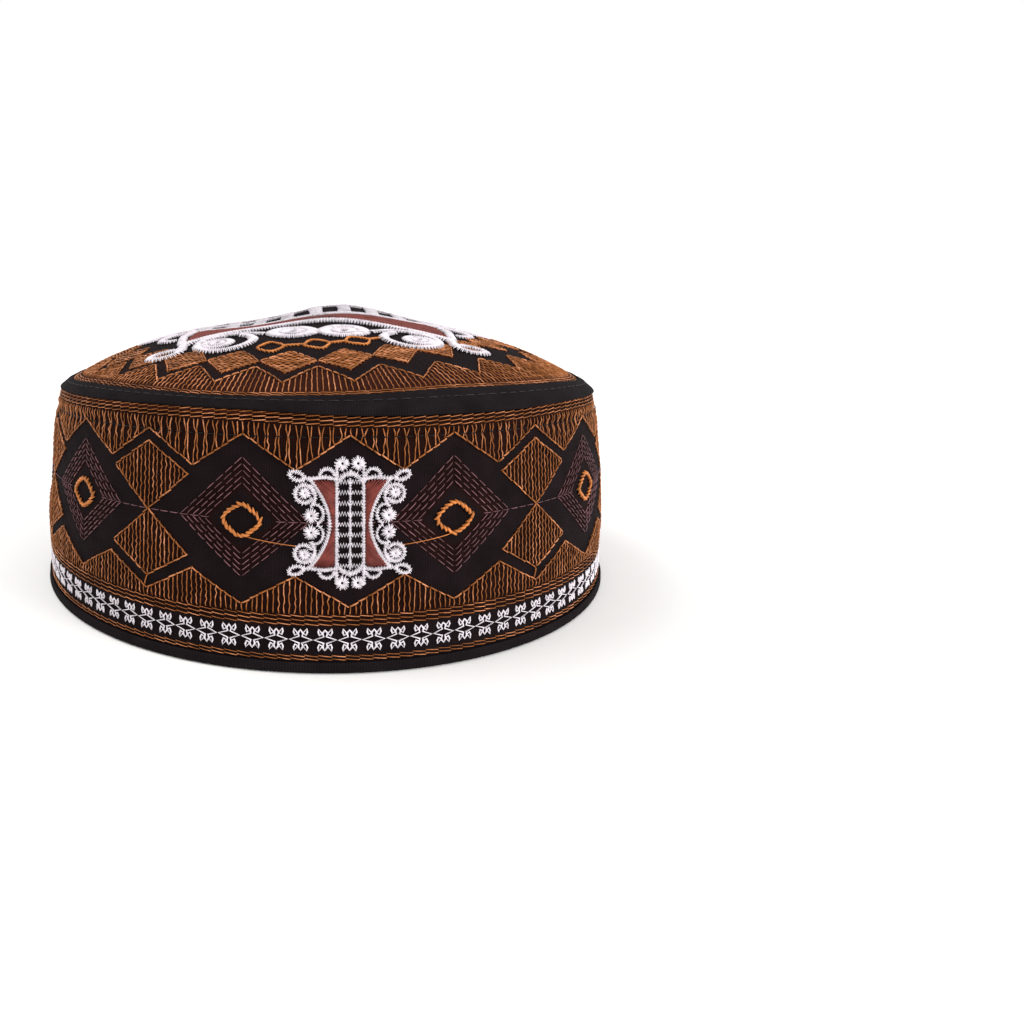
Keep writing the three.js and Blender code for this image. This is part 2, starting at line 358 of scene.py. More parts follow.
class Ornament:
    """Where the band's zigzags and diamonds lie.

    Places round the band are counted in units. The lace medallion is at 0, a plum diamond at each
    odd unit and a pair of small filled diamonds at each other even unit.
    """

    UNITS_OF_HALF = 11  # from the medallion to the middle of the back
    EVEN_UNITS = 4  # those next to the medallion, which are all one pitch long
    PEAK, VALLEY = 62.4, 53.6  # upper zigzag, heights over the floor
    TIP, NOTCH = 18.0, 26.2  # lower zigzag
    UNDER_BINDING = 3.2  # from the top binding's edge down to the fillings
    LOW_EDGE = 15.9  # of the fillings
    SEAM = 61.8  # black machine seam through the upper fillings
    SEAM_REACH = 0.9  # above and below it, where the cloth is pressed in
    CROSSING = 40.3  # where the small diamonds of a pair meet
    UPPER_DIAMOND = {"low": CROSSING, "side": 51.0, "high": 58.9}
    LOWER_DIAMOND = {"low": 21.8, "side": 29.4, "high": CROSSING}
    SMALL_DIAMONDS = (UPPER_DIAMOND, LOWER_DIAMOND)
    DIAMOND_HALF = 0.455  # of a unit
    PLUM_HALF = 0.625  # of a unit, the outermost plum diamond
    PLUM_UP, PLUM_DOWN = 16.2, 15.1  # from the crossing to its upper and lower point
    PLUM_NESTED = 5
    PLUM_STEP = 1.75  # from one nested diamond to the next, along the band

    def __init__(self, form, pattern):
        self.form = form
        self.shift = pattern.medallion_shift / MM
        self.pitch = pattern.pitch / MM
        near = self.EVEN_UNITS * self.pitch
        self.rear_pitch = (form.girth / 2 - near) / (self.UNITS_OF_HALF - self.EVEN_UNITS)

    def along(self, unit):
        """Millimetres round the band at a place in units."""
        size = np.abs(unit)
        near = np.minimum(size, self.EVEN_UNITS)
        return self.shift + np.sign(unit) * (near * self.pitch + (size - near) * self.rear_pitch)

    def unit(self, along):
        """The place in units of a place in millimetres."""
        girth = self.form.girth
        away = (along - self.shift + girth / 2) % girth - girth / 2
        near = np.minimum(np.abs(away), self.EVEN_UNITS * self.pitch)
        return np.sign(away) * (near / self.pitch + (np.abs(away) - near) / self.rear_pitch)

    def upper(self, unit):
        """Height of the upper zigzag."""
        return self.PEAK - (self.PEAK - self.VALLEY) * 2 * np.abs(unit - np.round(unit))

    def lower(self, unit):
        """Height of the lower zigzag."""
        return self.TIP + (self.NOTCH - self.TIP) * 2 * np.abs(unit - np.round(unit))

    def top_edge(self, unit):
        """Height up to which the upper fillings reach."""
        return self.form.binding_edge("low", self.form.turn_at(self.along(unit))) - self.UNDER_BINDING

    def pair_units(self):
        """The units with a pair of small diamonds."""
        return [k for k in range(1 - self.UNITS_OF_HALF, self.UNITS_OF_HALF) if k % 2 == 0 and k != 0]

    def plum_units(self):
        """The units with a plum diamond, the last of them at the middle of the back."""
        return [k for k in range(1 - self.UNITS_OF_HALF, self.UNITS_OF_HALF + 1) if k % 2 == 1]

    def pressed(self, height):
        """How far the machine seam presses the cloth in at a height, from 0 to 1."""
        return np.exp(-(((height - self.SEAM) / self.SEAM_REACH) ** 2))

    def diamond_span(self, diamond, share):
        """Heights between which a small diamond lies, at a share of the way to its side corner."""
        return [end + (diamond["side"] - end) * share for end in (diamond["low"], diamond["high"])]

    def filled_spans(self, unit):
        """Heights between which the cloth is filled, at a place in units."""
        spans = [(self.LOW_EDGE, self.lower(unit)), (self.upper(unit), self.top_edge(unit))]
        even = 2 * round(unit / 2)
        if even in self.pair_units() and abs(unit - even) < self.DIAMOND_HALF:
            share = abs(unit - even) / self.DIAMOND_HALF
            spans += [self.diamond_span(diamond, share) for diamond in self.SMALL_DIAMONDS]
        return spans


def interpolated(at, known, points):
    """Places in the plane that lie between points with known places on a scale."""
    return np.stack([np.interp(at, known, points[:, axis]) for axis in range(2)], axis=-1)


def resample(path, spacing, closed=False):
    """Points of a path in the plane, evenly spaced along it. A closed path's start comes once."""
    path = np.asarray(path, dtype=float)
    if closed:
        path = np.concatenate([path, path[:1]])
    steps = np.linalg.norm(np.diff(path, axis=0), axis=1)
    arcs = np.concatenate([[0.0], np.cumsum(steps)])
    count = max(2, round(arcs[-1] / spacing) + 1)
    wanted = np.linspace(0.0, arcs[-1], count)
    return interpolated(wanted[:-1] if closed else wanted, arcs, path)


def normals_of(points, closed=False):
    """Unit normals, to the left, along a path in the plane."""
    if closed:
        ahead = np.roll(points, -1, axis=0) - np.roll(points, 1, axis=0)
    else:
        ahead = np.gradient(points, axis=0)
    ahead /= np.maximum(np.linalg.norm(ahead, axis=1, keepdims=True), 1e-9)
    return np.stack([-ahead[:, 1], ahead[:, 0]], axis=-1)


def rotated(flat, angle):
    """Places in the plane, turned about its origin by an angle in radians."""
    x, y = flat[..., 0], flat[..., 1]
    along, across = math.cos(angle), math.sin(angle)
    return np.stack([x * along - y * across, x * across + y * along], axis=-1)


ELLIPSE_POINTS = 25


def ellipse(centre, radii, start=0.0, end=360.0, tilt=0.0):
    """Points of an ellipse or a part of one, its angles in degrees."""
    angle = np.radians(np.linspace(start, end, ELLIPSE_POINTS))
    flat = np.stack([radii[0] * np.cos(angle), radii[1] * np.sin(angle)], axis=-1)
    return rotated(flat, math.radians(tilt)) + centre


class Threads:
    """Strands of one kind of thread. They are drawn as curves with a four-sided section and become
    one mesh. Each strand has a tint of its own, which the thread's material reads."""

    SECTION_SIDES = 4

    def __init__(self, name, radius, seed):
        self.curve = bpy.data.curves.new(name, "CURVE")
        self.curve.dimensions = "3D"
        self.curve.bevel_depth = radius * MM
        self.curve.bevel_resolution = 0
        self.curve.use_fill_caps = True
        self.name = name
        self.random = np.random.default_rng(seed)
        self.tints = []

    def strand(self, points, thickness=1.0, closed=False, tint=None):
        """Adds a strand through points in millimetres. Thickness is a share of the thread's own."""
        count = len(points)
        spline = self.curve.splines.new("POLY")
        spline.points.add(count - 1)
        placed = np.ones((count, 4), dtype=np.float32)
        placed[:, :3] = np.asarray(points) * MM
        spline.points.foreach_set("co", placed.ravel())
        thick = np.ones(count, dtype=np.float32) * np.asarray(thickness, dtype=np.float32)
        spline.points.foreach_set("radius", thick)
        spline.use_cyclic_u = closed
        tint = self.random.uniform() if tint is None else tint
        ends = 0 if closed else 2
        self.tints.append(np.full((count + ends) * self.SECTION_SIDES, tint, dtype=np.float32))

    def finish(self, material):
        """Turns the strands into a mesh with its finish and puts it in the scene."""
        drawn = bpy.data.objects.new(self.name + "_line", self.curve)
        bpy.context.scene.collection.objects.link(drawn)
        evaluated = drawn.evaluated_get(bpy.context.evaluated_depsgraph_get())
        mesh = bpy.data.meshes.new_from_object(evaluated)
        bpy.data.objects.remove(drawn)
        tints = np.concatenate(self.tints)
        if len(tints) != len(mesh.vertices):
            raise RuntimeError(f"{self.name}: {len(mesh.vertices)} vertices for {len(tints)} tints")
        mesh.attributes.new("tint", "FLOAT", "POINT").data.foreach_set("value", tints)
        join_caps(mesh)
        mesh.polygons.foreach_set("use_smooth", np.ones(len(mesh.polygons), dtype=bool))
        mesh.materials.clear()
        mesh.materials.append(material)
        dress(bpy.data.objects.new(self.name, mesh))


def join_caps(mesh):
    """Joins the end caps of the strands to their sides."""
    shape = bmesh.new()
    shape.from_mesh(mesh)
    bmesh.ops.remove_doubles(shape, verts=shape.verts, dist=1e-6)
    shape.to_mesh(mesh)
    shape.free()


def dress(piece):
    """Puts a finished piece in the scene, on the cap's one body."""
    bpy.context.scene.collection.objects.link(piece)
    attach(piece, "root")
    return piece


ROUND_POINTS = 400


def round_path(form, place):
    """A path right round the cap, at one place across it."""
    around = np.linspace(-form.girth / 2, form.girth / 2, ROUND_POINTS)
    return np.stack([around, np.full_like(around, place)], axis=-1)


STITCH_SAMPLES = 8  # points of a path that are read for each stitch along it
STITCH_RAMP = 0.13  # share of a stitch in which it rises out of the cloth


def running_stitches(
    threads, spot, path, stitch, gap=0.5, slant=0.0, lift=0.3, wobble=0.0, thick=1.0, tint=None
):
    """Sews a path with separate stitches that dip into the cloth at both ends.

    spot gives points for plane coordinates and a lift. With a gap below zero the stitches overlap. A
    slanted stitch starts to the left of the path and ends to its right, as roof tiles lie.
    """
    points = resample(path, (stitch + gap) / STITCH_SAMPLES)
    normals = normals_of(points)
    order = np.arange(len(points))
    count = max(1, round((len(points) - 1) / STITCH_SAMPLES))
    edges = np.linspace(0, len(points) - 1, count + 1)
    inset = gap / (stitch + gap) / 2
    up = inset + STITCH_RAMP
    shares = np.array([inset, up, 0.5, 1 - up, 1 - inset])
    lifts = np.array([-0.1, 0.85, 1.0, 0.85, -0.1]) * lift
    for start, end in zip(edges[:-1], edges[1:]):
        at = start + (end - start) * shares
        off = slant * (0.5 - shares) + wobble * threads.random.uniform(-1, 1)
        flat = interpolated(at, order, points) + interpolated(at, order, normals) * off[:, None]
        threads.strand(spot(flat, lifts), np.array([0.6, 1, 1, 1, 0.6]) * thick, tint=tint)


SATIN_LEAN = 0.15  # of a satin stitch's ends, along its column


def satin_column(threads, spot, path, width, spacing, closed=False, rise=0.4, ragged=0.24):
    """Covers a path with stitches laid side by side across it, every other one a little longer."""
    points = resample(path, spacing, closed)
    across = np.array([-1.0, -0.45, 0.45, 1.0])
    lifts = np.array([0.1, 1.0, 1.0, 0.1]) * rise
    for index, (point, normal) in enumerate(zip(points, normals_of(points, closed))):
        half = width / 2 * (1 + ragged * (1 if index % 2 else -1))
        half += ragged * 0.5 * threads.random.uniform(-1, 1)
        lean = np.array([normal[1], -normal[0]]) * SATIN_LEAN
        flat = point + across[:, None] * (normal * half + lean)
        threads.strand(spot(flat, lifts), np.array([0.7, 1, 1, 0.7]))


def pompon(threads, spot, centre, radius, stitches, hole):
    """A small round flower of stitches that point to its middle. hole is a share of its radius."""
    for index in range(stitches):
        angle = 2 * math.pi * (index + 0.3 * threads.random.uniform(-1, 1)) / stitches
        reach = radius * (1 + 0.15 * threads.random.uniform(-1, 1))
        ray = np.array([math.cos(angle), math.sin(angle)])
        flat = np.array(centre) + np.outer([hole * radius, 0.6 * radius, reach], ray)
        threads.strand(spot(flat, np.array([0.15, 0.45, 0.1])), np.array([0.8, 1, 0.7]))


def add_node(tree, kind, inputs=None, **settings):
    """Adds a node with its settings. Each input is a value or the socket that it is linked from."""
    made = tree.nodes.new(kind)
    for name, value in settings.items():
        setattr(made, name, value)
    for name, value in (inputs or {}).items():
        if isinstance(value, bpy.types.NodeSocket):
            tree.links.new(value, made.inputs[name])
        else:
            made.inputs[name].default_value = value
    return made


def new_material(name, surface):
    """A material with its principled shader, whose inputs are set by their names."""
    material = bpy.data.materials.new(name)
    material.use_nodes = True
    shader = material.node_tree.nodes["Principled BSDF"]
    for socket, value in surface.items():
        shader.inputs[socket].default_value = value
    return material, material.node_tree, shader


WAVE_PERIOD = 2 * math.pi / 20  # of Blender's wave texture at scale 1


def shaded(colour, factor, pale=0.0):
    """A colour made darker or lighter by one factor, and paler by the white that is added."""
    return (*[min(1.0, channel * factor + pale) for channel in colour[:3]], 1.0)


def woven_cloth(name, cloth, ground=None):
    """Polyester drill, woven with a fine upright rib and dyed, for the walls and the binding strips.

    It gives the eye a matte near-black with faint upright lines. The rib is drawn 0.7 mm wide,
    about twice the real one, so that it shows. Where the mesh's ground attribute is 1 the cloth
    lies under a filling and takes its brown.
    """
    rib, weft, depth, blotch = 0.7, 0.45, 0.3, 8.0  # millimetres
    material, tree, shader = new_material(name, {"Roughness": 0.9, "Specular IOR Level": 0.05})
    uv = add_node(tree, "ShaderNodeUVMap", uv_map="cloth").outputs["UV"]
    ribs = add_node(
        tree,
        "ShaderNodeTexWave",
        {"Vector": uv, "Scale": WAVE_PERIOD / rib, "Distortion": 1.2, "Detail": 1.0},
        wave_type="BANDS",
        bands_direction="X",
    )
    wefts = add_node(
        tree,
        "ShaderNodeTexWave",
        {"Vector": uv, "Scale": WAVE_PERIOD / weft, "Distortion": 0.8},
        wave_type="BANDS",
        bands_direction="Y",
    )
    weave = add_node(
        tree, "ShaderNodeMath", {0: ribs.outputs["Fac"], 1: wefts.outputs["Fac"]}, operation="MULTIPLY"
    )
    blotches = add_node(tree, "ShaderNodeTexNoise", {"Vector": uv, "Scale": 1 / blotch, "Detail": 4.0})
    shade = add_node(
        tree,
        "ShaderNodeMapRange",
        {"Value": blotches.outputs["Fac"], "From Min": 0.3, "From Max": 0.7, "To Min": 0.75, "To Max": 1.3},
    )
    lit = add_node(tree, "ShaderNodeMath", {0: weave.outputs[0], 1: 0.6, 2: 0.7}, operation="MULTIPLY_ADD")
    both = add_node(
        tree, "ShaderNodeMath", {0: shade.outputs[0], 1: lit.outputs[0]}, operation="MULTIPLY"
    )
    base = add_node(
        tree,
        "ShaderNodeMix",
        {"Factor": 0.0, "A": tuple(cloth), "B": tuple(ground or cloth)},
        data_type="RGBA",
    )
    if ground:
        under = add_node(tree, "ShaderNodeAttribute", attribute_name="ground")
        tree.links.new(under.outputs["Fac"], base.inputs["Factor"])
    toned = add_node(
        tree,
        "ShaderNodeVectorMath",
        {0: base.outputs["Result"], "Scale": both.outputs[0]},
        operation="SCALE",
    )
    tree.links.new(toned.outputs[0], shader.inputs["Base Color"])
    bump = add_node(
        tree, "ShaderNodeBump", {"Height": weave.outputs[0], "Strength": 0.5, "Distance": depth * MM}
    )
    tree.links.new(bump.outputs[0], shader.inputs["Normal"])
    return material


def embroidery_thread(name, colour, light=2.1, dark=0.4, pale=0.0, roughness=0.45):
    """Rayon embroidery thread, spun from filaments and dyed.

    It gives the eye a silky colour that changes from stitch to stitch, with small glints where a
    stitch turns to the light. Each stitch has its own tint, and patches a few millimetres long
    break up the longer ones; the patches are partly painted glints. The lightest stitches are
    partly a painted highlight, and with pale they also lose colour, a painted sheen.
    """
    filament, patch, depth = 0.25, 2.5, 0.1  # millimetres
    material, tree, shader = new_material(name, {"Roughness": roughness, "Specular IOR Level": 0.18})
    place = add_node(tree, "ShaderNodeTexCoord").outputs["Object"]
    tint = add_node(tree, "ShaderNodeAttribute", attribute_name="tint")
    patches = add_node(
        tree, "ShaderNodeTexNoise", {"Vector": place, "Scale": 1 / (patch * MM), "Detail": 2.0}
    )
    spread = add_node(
        tree, "ShaderNodeMath", {0: patches.outputs["Fac"], 1: 1.1, 2: -0.28}, operation="MULTIPLY_ADD"
    )
    mixed = add_node(
        tree,
        "ShaderNodeMath",
        {0: tint.outputs["Fac"], 1: 0.45, 2: spread.outputs[0]},
        operation="MULTIPLY_ADD",
    )
    ramp = add_node(tree, "ShaderNodeValToRGB", {"Fac": mixed.outputs[0]})
    ramp.color_ramp.elements[0].color = shaded(colour, dark)
    # Light end: partly a painted highlight, whitened by pale as a painted sheen.
    ramp.color_ramp.elements[1].color = shaded(colour, light, pale)
    ramp.color_ramp.elements.new(0.5).color = tuple(colour)
    tree.links.new(ramp.outputs["Color"], shader.inputs["Base Color"])
    filaments = add_node(
        tree, "ShaderNodeTexNoise", {"Vector": place, "Scale": 1 / (filament * MM), "Detail": 1.0}
    )
    bump = add_node(
        tree,
        "ShaderNodeBump",
        {"Height": filaments.outputs["Fac"], "Strength": 0.35, "Distance": depth * MM},
    )
    tree.links.new(bump.outputs[0], shader.inputs["Normal"])
    return material


def spun_ring(name, profile, steps, form):
    """Spins a profile of (out, height) round the cap's axis, still on the circle.

    A closed profile gives a ring. One that starts and ends on the axis gives a dish. It also gives
    the turn, the out and the height of each point.
    """
    shape = bmesh.new()
    corners = [shape.verts.new((form.face_radius + out, 0, height)) for out, height in profile]
    on_axis = min(out for out, _ in profile) < 0.01 - form.face_radius
    ends = corners[1:] if on_axis else corners[1:] + corners[:1]
    edges = [shape.edges.new(pair) for pair in zip(corners, ends)]
    bmesh.ops.spin(
        shape,
        geom=corners + edges,
        cent=(0, 0, 0),
        axis=(0, 0, 1),
        angle=2 * math.pi,
        steps=steps,
        use_merge=True,
    )
    bmesh.ops.remove_doubles(shape, verts=shape.verts, dist=1e-4)
    bmesh.ops.recalc_face_normals(shape, faces=shape.faces)
    mesh = bpy.data.meshes.new(name)
    shape.to_mesh(mesh)
    shape.free()
    place = np.empty(len(mesh.vertices) * 3, dtype=np.float32)
    mesh.vertices.foreach_get("co", place)
    x, y, height = place.reshape(-1, 3).T.astype(float)
    return mesh, np.arctan2(x, -y), np.hypot(x, y) - form.face_radius, height


def lay_cloth(mesh, placed, u, v, ground=None, girth=None):
    """Moves a round mesh's points to their places on the cap and unrolls its faces.

    u and v are the unrolled places in millimetres. Where u runs round the cap, girth is the length
    after which it starts again. ground marks the cloth that lies under a filling.
    """
    mesh.vertices.foreach_set("co", (placed * MM).astype(np.float32).ravel())
    loops = np.empty(len(mesh.loops), dtype=np.int32)
    mesh.loops.foreach_get("vertex_index", loops)
    u, v = u[loops], v[loops]
    if girth:
        totals = np.empty(len(mesh.polygons), dtype=np.int32)
        mesh.polygons.foreach_get("loop_total", totals)
        first = np.repeat(u[np.cumsum(totals) - totals], totals)
        u = first + (u - first + girth / 2) % girth - girth / 2
    layer = mesh.uv_layers.new(name="cloth")
    layer.data.foreach_set("uv", np.stack([u, v], axis=-1).astype(np.float32).ravel())
    if ground is not None:
        marks = mesh.attributes.new("ground", "FLOAT", "POINT")
        marks.data.foreach_set("value", ground.astype(np.float32))
    mesh.polygons.foreach_set("use_smooth", np.ones(len(mesh.polygons), dtype=bool))
    mesh.update()


ARC_POINTS = 7


def arc(centre, radius, start, end):
    """Points of a round corner of a profile, its angles in degrees."""
    angles = np.radians(np.linspace(start, end, ARC_POINTS))
    return [(centre[0] + radius * math.cos(a), centre[1] + radius * math.sin(a)) for a in angles]


def stretch_of(start, end, pieces):
    """Points that divide a straight stretch of a profile, with its start and without its end."""
    return [
        (start[0] + (end[0] - start[0]) * i / pieces, start[1] + (end[1] - start[1]) * i / pieces)
        for i in range(pieces)
    ]


def cloth_piece(mesh, material, node):
    """Makes an object of a cloth mesh, in place of its plain solid."""
    mesh.materials.append(material)
    piece = dress(bpy.data.objects.new(node + "_cloth", mesh))
    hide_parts(node)


def soften(distance, width):
    """A step from 0 to 1 with a soft edge about 0."""
    return 1 / (1 + np.exp(-np.clip(distance / width, -50, 50)))


class SONGKOK_OT_stage(bpy.types.Operator):
    """Adds the pale floor, the soft lights and the camera"""

    bl_idname = "songkok.stage"
    bl_label = "Stage"

    CAMERA_PLACE = (0.00002, -0.258, 0.09809)
    CAMERA_DOWN, CAMERA_ROLL = 16.27, -0.29  # degrees
    LENS, SENSOR = 24.62, 36.0  # millimetres
    SHIFT = (0.1807, -0.0215)
    FLOOR_HALF, FLOOR_DROP = 6.0, 0.0002
    LIGHTS = (
        {"name": "key", "from": (0.9, -0.4, 0.3), "spread": 30, "strength": 2.4},
        {"name": "back", "from": (-0.6, 0.15, 0.75), "spread": 40, "strength": 1.3},
    )

    def execute(self, context):
        self.add_camera(context)
        self.add_floor(context)
        self.add_lights(context)
        return {"FINISHED"}

    def add_camera(self, context):
        """A near camera, a little above the cap, with the cap left of the picture's middle."""
        lens = bpy.data.cameras.new("camera")
        lens.lens, lens.sensor_width = self.LENS, self.SENSOR
        lens.shift_x, lens.shift_y = self.SHIFT
        lens.clip_start = 0.01
        camera = bpy.data.objects.new("camera", lens)
        camera.location = self.CAMERA_PLACE
        camera.rotation_euler = (math.radians(90 - self.CAMERA_DOWN), math.radians(self.CAMERA_ROLL), 0.0)
        context.scene.collection.objects.link(camera)
        context.scene.camera = camera

    def add_floor(self, context):
        """Uncoated paper, pressed smooth. It gives the eye an even, pale and matte ground."""
        paper = tuple(context.scene.songkok_colours.floor)
        material, _, _ = new_material(
            "matte_paper_floor", {"Base Color": paper, "Roughness": 0.9, "Specular IOR Level": 0.1}
        )
        shape = bmesh.new()
        bmesh.ops.create_grid(shape, x_segments=1, y_segments=1, size=self.FLOOR_HALF)
        mesh = bpy.data.meshes.new("floor")
        shape.to_mesh(mesh)
        shape.free()
        mesh.materials.append(material)
        floor = bpy.data.objects.new("floor", mesh)
        floor.location = (0, 0, -self.FLOOR_DROP)
        context.scene.collection.objects.link(floor)

    def add_lights(self, context):
        """A wide soft light from the right, a weaker one over the left end, and a white room."""
        for light in self.LIGHTS:
            lamp = bpy.data.lights.new(light["name"], "SUN")
            lamp.angle = math.radians(light["spread"])
            lamp.energy = light["strength"]
            shown = bpy.data.objects.new(light["name"], lamp)
            x, y, z = light["from"]
            shown.rotation_euler = (math.atan2(math.hypot(x, y), z), 0.0, math.atan2(y, x) + math.pi / 2)
            context.scene.collection.objects.link(shown)
        world = bpy.data.worlds.new("white_studio")
        world.use_nodes = True
        sky = world.node_tree.nodes["Background"]
        sky.inputs["Color"].default_value = (1.0, 1.0, 1.0, 1.0)
        sky.inputs["Strength"].default_value = 1.0
        context.scene.world = world
        context.scene.view_settings.view_transform = "Standard"


class SONGKOK_OT_side_band(bpy.types.Operator):
    """Adds the stiffened side band, brown under its fillings and pressed in along its top seam"""

    bl_idname = "songkok.side_band"
    bl_label = "Side band"

    STEPS = 480
    OUTER = -0.5  # what lies further out than this is the outer face
    SEAM_DEPTH = 0.5
    PUCKER, PUCKER_PERIOD = 0.1, 9.0
    PUCKER_LOW, PUCKER_HIGH, PUCKER_FADE = 4.0, 60.0, 6.0  # heights between which it puckers
    SOFT = 0.3  # width of the ground's edge
    GROUND_BELOW = 3.0  # how far the ground reaches under the lower fillings
    PLUM_SOFT, PLUM_GROUND = 0.01, 0.8  # edge and strength of the ground under the nested diamonds

    def execute(self, context):
        form = Form(context.scene.songkok_sizes)
        ornament = Ornament(form, context.scene.songkok_pattern)
        colours = context.scene.songkok_colours
        low, high, wall = form.stand, form.band_top, form.band_wall
        profile = (
            stretch_of((0, low), (0, high), round(high - low))
            + stretch_of((0, high), (-wall, high), 2)
            + stretch_of((-wall, high), (-wall, low), 12)
            + stretch_of((-wall, low), (0, low), 2)
        )
        mesh, turn, out, height = spun_ring("side_band_cloth", profile, self.STEPS, form)
        placed = form.place(turn, out + self.relief(turn, out, height, ornament), height)
        around = np.interp(turn, form.turns, form.arcs)
        ground = self.ground(out, height, ornament.unit(around), ornament)
        lay_cloth(mesh, placed, around, height + out, ground, form.girth)
        material = woven_cloth("black_polyester_drill", colours.cloth, colours.ground)
        cloth_piece(mesh, material, "side_band")
        return {"FINISHED"}

    def relief(self, turn, out, height, ornament):
        """The cloth is pulled in along the black seam and puckers a little under its stitches."""
        swell = np.sin(height * 2 * math.pi / self.PUCKER_PERIOD + 3 * np.sin(turn * 7)) * np.sin(turn * 40)
        from_low = np.clip((height - self.PUCKER_LOW) / self.PUCKER_FADE, 0, 1)
        from_high = np.clip((self.PUCKER_HIGH - height) / self.PUCKER_FADE, 0, 1)
        pucker = self.PUCKER * swell * from_low * from_high
        return (out > self.OUTER) * (pucker - self.SEAM_DEPTH * ornament.pressed(height))

    def ground(self, out, height, unit, ornament):
        """Marks the points of the cloth that lie under a filling."""
        soft, low_edge = self.SOFT, ornament.LOW_EDGE - self.GROUND_BELOW
        upper = soften(height - ornament.upper(unit), soft)
        lower = soften(ornament.lower(unit) - height, soft) * soften(height - low_edge, soft)
        filled = np.maximum(upper, lower)
        even = 2 * np.round(unit / 2)
        share = np.abs(unit - even) / ornament.DIAMOND_HALF
        pairs = np.isin(even, ornament.pair_units())
        for diamond in ornament.SMALL_DIAMONDS:
            low, high = ornament.diamond_span(diamond, share)
            filled = np.maximum(filled, pairs * soften(height - low, soft) * soften(high - height, soft))
        odd = 2 * np.round((unit - 1) / 2) + 1
        reach = np.where(height > ornament.CROSSING, ornament.PLUM_UP, ornament.PLUM_DOWN)
        inward = 1 - np.abs(unit - odd) / ornament.PLUM_HALF - np.abs(height - ornament.CROSSING) / reach
        innermost = ornament.PLUM_NESTED * ornament.PLUM_STEP / (ornament.PLUM_HALF * ornament.pitch)
        nested = soften(inward, self.PLUM_SOFT) * soften(innermost - inward, self.PLUM_SOFT)
        return np.maximum(filled, self.PLUM_GROUND * nested) * (out > self.OUTER)


class SONGKOK_OT_crown(bpy.types.Operator):
    """Adds the domed crown, brown under its fillings"""

    bl_idname = "songkok.crown"
    bl_label = "Crown"

    STEPS = 300
    RINGS, UNDER_RINGS = 44, 16
    SOFT = 0.004  # width of the ground's edge, as a share of the oval

    def execute(self, context):
        form = Form(context.scene.songkok_sizes)
        colours = context.scene.songkok_colours
        top, wall, turned = form.crown_rim_top, form.crown_wall, form.crown_rim_round
        radius = form.face_radius
        profile = (
            stretch_of((-radius, top - wall), (0, top - wall), self.UNDER_RINGS)
            + [(0, top - wall)]
            + arc((-turned, top - turned), turned, 0, 90)
            + stretch_of((-turned - 1, top), (-radius, top), self.RINGS)
            + [(-radius, top)]
        )
        mesh, turn, out, height = spun_ring("crown_cloth", profile, self.STEPS, form)
        placed = form.place(turn, out, height, True)
        share = 1 + out / radius
        x, y = share * form.crown_half[0] * np.sin(turn), -share * form.crown_half[1] * np.cos(turn)
        ground = self.ground(x, y, CrownOrnament(form, context.scene.songkok_pattern))
        lay_cloth(mesh, placed, placed[:, 0], placed[:, 1], ground)
        # The crown's ground is a lighter copy of the band's: painted light on the upturned face, besides
        # being redder.
        material = woven_cloth("black_polyester_drill_crown", colours.cloth, colours.lit_crown_ground)
        cloth_piece(mesh, material, "crown")
        return {"FINISHED"}

    def ground(self, x, y, ornament):
        """Marks the points of the cloth that lie under a filling."""
        share, angle = ornament.share_and_angle(x, y)
        triangles = soften(share - ornament.zigzag(angle), self.SOFT)
        from_middle = np.abs(share - ornament.chain_middle(angle))
        chain = soften(ornament.chain_half(angle) - from_middle, self.SOFT)
        return np.maximum(triangles, chain)


